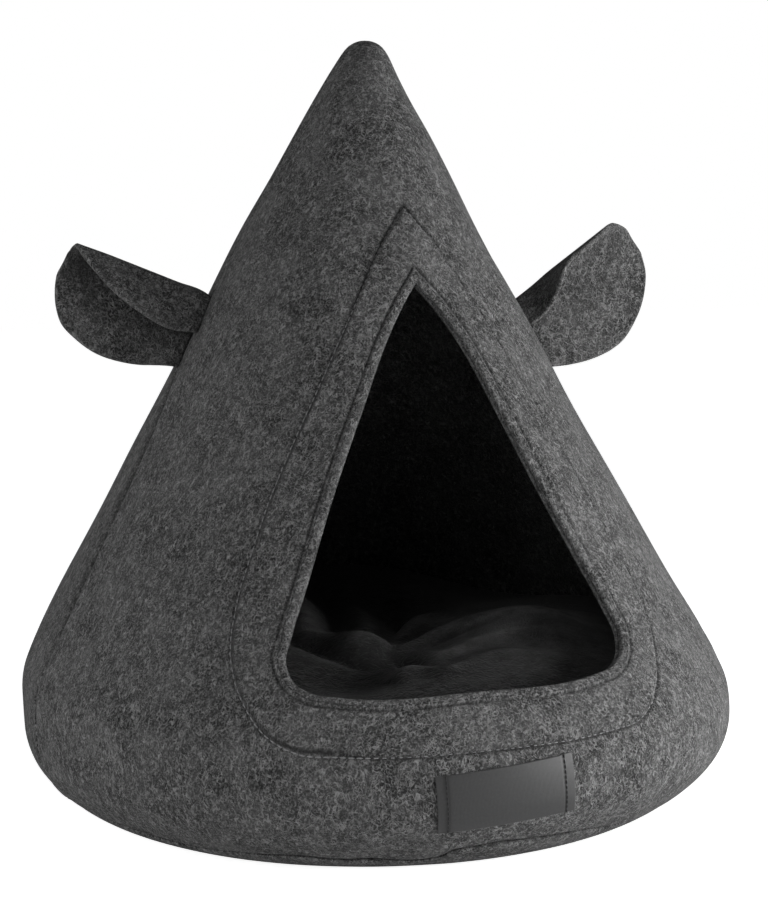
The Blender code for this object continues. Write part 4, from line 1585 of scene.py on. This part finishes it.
class Fibres:
    """Shader group shared by felt and plush: matted fibres as masks and a height."""

    NAME = "matted_fibres"
    LIGHT = (FibreLayer((0.3, 0.2, 0.1), 1.0), FibreLayer((1.1, 0.7, 2.0), 1.23),
             FibreLayer((2.1, 1.6, 0.8), 0.83))
    DARK = (FibreLayer((0.9, 2.4, 1.5), 1.1), FibreLayer((1.9, 0.4, 2.9), 0.92))
    STRETCH = (1.0, 1.5, 0.75)        # along x, y and z, times the layer's own
    WAVE = (1.5, 0.5, 0.7)            # detail, roughness and distortion of a layer's noise
    BREAK_SCALE = 0.8                 # scale of the noise that breaks the fibres up, over theirs
    BREAK_WAVE = (1.0, 0.5)           # its detail and roughness
    BREAKS = (0.38, 0.70)             # its values between which a fibre shows
    PATCHES = (5.0, 0.66, 0.3)
    GRAIN = (3.0, 0.65)
    SHARES = (0.55, 0.9, 0.5, -0.35)  # of the height: light fibres, grain, patches, dark fibres

    @classmethod
    def layer(cls, desk: NodeDesk, given: NodeOutputs, layer: FibreLayer,
              ) -> NodeSocket:
        """One layer: thin lines where a noise passes its middle value, broken by a second.

        Args:
            desk: on the group's tree.
            given: what the group is given.
            layer: its turn and stretch.

        Returns:
            Mask of the layer's fibres.
        """
        turn, scale = layer.turn, given["Fibre Scale"]
        vector = desk.add("ShaderNodeMapping", {
            "Vector": given["Vector"], "Rotation": turn, "Location": (turn[2], turn[0], turn[1]),
            "Scale": tuple(layer.stretch * share for share in cls.STRETCH)}).outputs[0]
        wave = desk.noise(vector, scale, *cls.WAVE)
        ridge = desk.maths("ABSOLUTE", desk.maths("SUBTRACT", wave, 0.5))
        thin = desk.maths("MULTIPLY", ridge, given["Fineness"])
        line = desk.maths("SUBTRACT", 1.0, thin, clamp=True)
        broken = desk.maths("MULTIPLY", scale, cls.BREAK_SCALE)
        breaks = desk.noise(vector, broken, *cls.BREAK_WAVE)
        return desk.maths("MULTIPLY", line, desk.spread(breaks, *cls.BREAKS))

    @classmethod
    def group(cls) -> NodeTree:
        """The group, built once: layers of fibres, patches as a coarse noise, grain as a fine one,
        and a height that sums them.

        Returns:
            The group's tree.
        """
        if cls.NAME in bpy.data.node_groups:
            return bpy.data.node_groups[cls.NAME]
        desk, given, out = shader_group(
            cls.NAME, ("Fibre Scale", "Patch Scale", "Grain Scale", "Fineness"),
            ("Patches", "Light Fibres", "Dark Fibres", "Grain", "Height"))
        light, dark = (
            reduce(lambda one, other: desk.maths("MAXIMUM", one, other),
                   [cls.layer(desk, given, layer) for layer in layers])
            for layers in (cls.LIGHT, cls.DARK))
        patches = desk.noise(given["Vector"], given["Patch Scale"], *cls.PATCHES)
        grain = desk.noise(given["Vector"], given["Grain Scale"], *cls.GRAIN)
        desk.feed(out, {
            "Patches": patches, "Light Fibres": light, "Dark Fibres": dark, "Grain": grain,
            "Height": desk.total(*zip((light, grain, patches, dark), cls.SHARES))})
        return desk.tree


@dataclass(frozen=True)
class MattedFinish:
    """Finish of matted fibres: its colours, scales and depth. Colours are linear greys."""

    name: str
    deep: float
    body: float
    bright: float
    fibre_scale: float
    patch_scale: float
    grain_scale: float
    fineness: float
    light_share: float
    dark_share: float
    bump_depth: float
    bump_strength: float
    roughness: float
    sheen: float
    sheen_roughness: float
    worked: float                     # grey of painted shade (felt) or painted light (plush), by a piece's own share
    patch_range: tuple[float, float] = (0.29, 0.71)   # noise from the deep to the body colour
    grain_range: tuple[float, ...] = (0.44, 0.70, 0.0, 0.40)   # noise, and its share of bright
    fleck_range: tuple[float, ...] = (0.32, 0.64, 0.35, 1.0)   # noise, and its share of the painted shading
    under: float = 0.45               # dark fibres are darker than the deep colour
    specular: float = 0.25

    def material(self) -> Material:
        """Principled cloth: patches and grain move the body colour, fibres lay bright and deep
        lines over it, and the piece's share of painted shade or painted light takes its own grey.

        Returns:
            The material.
        """
        material, desk, shader = new_material(self.name)
        fibres = desk.add("ShaderNodeGroup", node_tree=Fibres.group())
        desk.feed(fibres, {
            "Vector": desk.place(), "Fibre Scale": self.fibre_scale,
            "Patch Scale": self.patch_scale, "Grain Scale": self.grain_scale,
            "Fineness": self.fineness})
        masks = fibres.outputs
        # share of painted shade or painted light that the piece keeps as an attribute
        worked = desk.add("ShaderNodeAttribute", attribute_name="worked").outputs["Fac"]
        flecks = desk.spread(masks["Patches"], *self.fleck_range)
        colour = grey(self.deep)
        for share, over in (
                (desk.spread(masks["Patches"], *self.patch_range), self.body),
                (desk.spread(masks["Grain"], *self.grain_range), self.bright),
                (desk.maths("MULTIPLY", masks["Dark Fibres"], self.dark_share),
                 self.deep * self.under),
                (desk.maths("MULTIPLY", masks["Light Fibres"], self.light_share), self.bright),
                (desk.maths("MULTIPLY", worked, flecks), self.worked)):
            colour = desk.blend(share, colour, grey(over))
        desk.feed(shader, {
            "Base Color": colour,
            "Normal": desk.bump(masks["Height"], self.bump_depth, self.bump_strength),
            "Roughness": self.roughness, "Specular IOR Level": self.specular,
            "Sheen Weight": self.sheen, "Sheen Roughness": self.sheen_roughness})
        return material


class Weave:
    """Shader group shared by ribbon and thread: fine crossing yarns as a height and a tone."""

    NAME = "fine_weave"
    NOISE = (900.0, 3.0, 0.6)
    YARNS = (0.35, 0.5)               # shares of the yarns across and of the yarns up
    UNEVEN = 0.6                      # share of the noise in the height
    TONE_SHARE = 0.3                  # share of the yarns in the tone
    TONE_RANGE = (0.2, 0.9)

    @classmethod
    def group(cls) -> NodeTree:
        """The group, built once: two crossed sine waves, a little broken by noise.

        Returns:
            The group's tree.
        """
        if cls.NAME in bpy.data.node_groups:
            return bpy.data.node_groups[cls.NAME]
        desk, given, out = shader_group(cls.NAME, ("Across Count", "Up Count"), ("Tone", "Height"))
        split = desk.add("ShaderNodeSeparateXYZ", {0: given["Vector"]}).outputs
        yarns = [desk.maths("SINE", desk.maths("MULTIPLY", split[axis], given[count]))
                 for axis, count in ((0, "Across Count"), (2, "Up Count"))]
        uneven = desk.noise(given["Vector"], *cls.NOISE)
        crossing = desk.total(*zip(yarns, cls.YARNS))
        desk.feed(out, {
            "Height": desk.total((crossing, 1.0), (uneven, cls.UNEVEN)),
            "Tone": desk.spread(desk.total((crossing, cls.TONE_SHARE), (uneven, 1.0)),
                                *cls.TONE_RANGE)})
        return desk.tree


@dataclass(frozen=True)
class WovenFinish:
    """Finish of a fine weave, for the ribbon and the thread. Colours are linear greys."""

    name: str
    low: float
    high: float
    across_count: float
    up_count: float
    bump_depth: float
    roughness: float
    sheen: float
    lean: float = 0.0
    cast: float = 1.02
    bump_strength: float = 0.5

    def material(self) -> Material:
        """Principled cloth whose colour and height follow the weave.

        Returns:
            The material.
        """
        material, desk, shader = new_material(self.name)
        turned = desk.add("ShaderNodeMapping", {
            "Vector": desk.place(), "Rotation": (0.0, self.lean, 0.0)})
        weave = desk.add("ShaderNodeGroup", node_tree=Weave.group())
        desk.feed(weave, {"Vector": turned.outputs[0], "Across Count": self.across_count,
                          "Up Count": self.up_count})
        low, high = grey(self.low, self.cast), grey(self.high, self.cast)
        height = weave.outputs["Height"]
        desk.feed(shader, {
            "Base Color": desk.blend(weave.outputs["Tone"], low, high),
            "Normal": desk.bump(height, self.bump_depth, self.bump_strength),
            "Roughness": self.roughness, "Sheen Weight": self.sheen})
        return material


# the felt's last grey is the dark of the painted shade along its seams, stitch lines and ear folds
FELT_FINISH = MattedFinish(
    "grey_felt", deep=0.013, body=0.088, bright=0.410, fibre_scale=310.0, patch_scale=44.0,
    grain_scale=900.0, fineness=21.0, light_share=0.85, dark_share=0.55, bump_depth=0.9 * MM,
    bump_strength=0.85, roughness=0.95, sheen=0.05, sheen_roughness=0.5, worked=0.008)
# the plush's last grey is the pale of the painted light on its lit humps and ridges
PLUSH_FINISH = MattedFinish(
    "dark_plush", deep=0.005, body=0.015, bright=0.050, fibre_scale=170.0, patch_scale=60.0,
    grain_scale=900.0, fineness=14.0, light_share=0.45, dark_share=0.5, bump_depth=1.0 * MM,
    bump_strength=0.9, roughness=0.9, sheen=0.14, sheen_roughness=0.4, worked=0.240)
RIBBON_FINISH = WovenFinish("satin_ribbon", 0.042, 0.060, 9000.0, 12000.0, 0.06 * MM, 0.42, 0.15,
                            lean=math.radians(3.4))
LIGHT_THREAD = WovenFinish("light_thread", 0.240, 0.400, 5000.0, 5000.0, 0.05 * MM, 0.7, 0.2)
DARK_THREAD = WovenFinish("dark_thread", 0.010, 0.024, 5000.0, 5000.0, 0.05 * MM, 0.7, 0.1)


# ======== Studio ========
class Lamp(NamedTuple):
    """Soft light from far away, in degrees."""

    name: str
    around: float                     # from the front, growing towards the right
    above: float                      # the floor
    spread: float
    strength: float


class Softbox(NamedTuple):
    """Square soft light beside the object, turned to its middle: degrees, metres, watts."""

    name: str
    around: float
    away: float
    height: float
    size: float
    power: float


@dataclass
class Studio:
    """Pale floor, soft lights, a white surround and the camera."""

    camera_place: tuple[float, float, float] = (-0.30716, -1.09663, 0.35080)
    camera_aim: tuple[float, float, float] = (0.00681, -0.00195, 0.19075)
    camera_roll: float = -0.01328
    lens: float = 74.4845
    sensor: float = 36.0
    floor_size: float = 8.0
    floor_drop: float = 0.15 * MM
    floor_noise: tuple[float, ...] = (1.5, 2.0, 0.5)      # scale, detail and roughness
    floor_range: tuple[float, ...] = (0.2, 0.8, 0.855, 0.86)   # noise, and the floor's grey
    floor_rough: float = 0.9
    floor_glow: float = 0.04          # light that the white floor sends back up,
    floor_shown: float = 0.88         # and its brightness as the camera sees it
    lamps: tuple[Lamp, ...] = (Lamp("left", -90.0, 20.0, 40.0, 0.45),)
    softboxes: tuple[Softbox, ...] = (
        Softbox("softbox_right", 75.0, 0.80, 0.35, 0.45, 2.5),
        Softbox("softbox_low", 45.0, 0.90, 0.10, 0.45, 6.4),
        Softbox("softbox_left", -90.0, 0.80, 0.10, 0.45, 0.8),
        Softbox("softbox_front", -50.0, 0.90, 0.12, 0.45, 1.2),
        Softbox("softbox_high", -30.0, 0.90, 0.75, 0.35, 0.4),
    )
    softbox_aim: tuple[float, float, float] = (0.0, 0.0, 0.15)
    surround_light: float = 0.10

    def build(self) -> None:
        """Set up the floor, lights, surround and camera."""
        self.build_floor()
        for lamp in self.lamps:
            light = bpy.data.lights.new(lamp.name, "SUN")
            light.angle, light.energy = math.radians(lamp.spread), lamp.strength
            item = self.stand(lamp.name, light)
            item.rotation_euler = (math.radians(90.0 - lamp.above), 0.0, math.radians(lamp.around))
        for box in self.softboxes:
            light = bpy.data.lights.new(box.name, "AREA")
            light.size, light.energy = box.size, box.power
            turn = math.radians(box.around)
            item = self.stand(box.name, light)
            item.location = (box.away * math.sin(turn), -box.away * math.cos(turn), box.height)
            item.rotation_euler = self.facing(item.location, self.softbox_aim).to_euler()
        self.build_surround()
        camera = bpy.data.cameras.new("camera")
        camera.lens, camera.sensor_width = self.lens, self.sensor
        item = self.stand("camera", camera)
        turned = self.facing(self.camera_place, self.camera_aim).to_matrix().to_4x4()
        turned = turned @ Matrix.Rotation(self.camera_roll, 4, "Z")
        item.matrix_world = Matrix.Translation(self.camera_place) @ turned
        bpy.context.scene.camera = item
        bpy.context.scene.view_settings.view_transform = "Standard"

    @staticmethod
    def stand(name: str, data: ID) -> Object:
        """Link a new object to the scene.

        Args:
            name: of the object.
            data: its mesh, light or camera.

        Returns:
            The object.
        """
        item = bpy.data.objects.new(name, data)
        bpy.context.scene.collection.objects.link(item)
        return item

    @staticmethod
    def facing(place: Vector, aim: Vector) -> Quaternion:
        """Turn that points -Z from a place to an aim, with Y up."""
        return (Vector(aim) - Vector(place)).to_track_quat("-Z", "Y")

    def build_floor(self) -> None:
        """Square floor just under the base."""
        half = 0.5 * self.floor_size
        mesh = bpy.data.meshes.new("studio_floor")
        mesh.from_pydata([(x * half, y * half, -self.floor_drop)
                          for x, y in ((-1, -1), (1, -1), (1, 1), (-1, 1))], [], [(0, 1, 2, 3)])
        material, desk, shader = new_material("studio_white")
        tone = desk.spread(desk.noise(desk.place(), *self.floor_noise), *self.floor_range)
        joined = desk.add("ShaderNodeCombineColor", {channel: tone for channel in range(3)})
        desk.feed(shader, {
            "Base Color": joined.outputs[0], "Roughness": self.floor_rough,
            "Emission Color": grey(1.0),
            "Emission Strength": self.seen_or_lit(desk, self.floor_shown, self.floor_glow)})
        mesh.materials.append(material)
        floor = self.stand("studio_floor", mesh)

    def build_surround(self) -> None:
        """White to the camera, dimmer as light."""
        world = bpy.data.worlds.new("surround")
        bpy.context.scene.world = world
        world.use_nodes = True
        desk = NodeDesk(world.node_tree)
        desk.feed(world.node_tree.nodes["Background"], {
            0: grey(1.0), "Strength": self.seen_or_lit(desk, 1.0, self.surround_light)})

    @staticmethod
    def seen_or_lit(desk: NodeDesk, seen: float, lit: float) -> NodeSocket:
        """One strength as the camera sees it and another as light."""
        path = desk.add("ShaderNodeLightPath").outputs["Is Camera Ray"]
        return desk.maths("ADD", desk.maths("MULTIPLY", path, seen - lit), lit)


def main() -> None:
    """Build every piece of the cave and its studio."""
    logging.basicConfig(level=logging.INFO, format="%(name)s %(message)s")
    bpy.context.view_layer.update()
    felt, plush, ribbon, light_thread, dark_thread = (finish.material() for finish in (
        FELT_FINISH, PLUSH_FINISH, RIBBON_FINISH, LIGHT_THREAD, DARK_THREAD))
    wall = Wall()
    FrontPanel(Doorway(wall)).build(felt, light_thread, dark_thread)
    BackPanel(wall).build(felt)
    BasePanel(wall).build(felt)
    Ear(Side.LEFT, wall, 289.1, 20.1, 11.1, 0.6, 159.0, 144.4, 124.0, LEFT_PETAL,
        shade=0.75).build(felt)
    Ear(Side.RIGHT, wall, 279.9, 31.4, 6.9, -0.1, 139.7, 78.2, 84.8, RIGHT_PETAL).build(felt)
    Cushion().build(plush)
    Label(wall).build(ribbon, dark_thread)
    Studio().build()


if __name__ == "__main__":
    main()
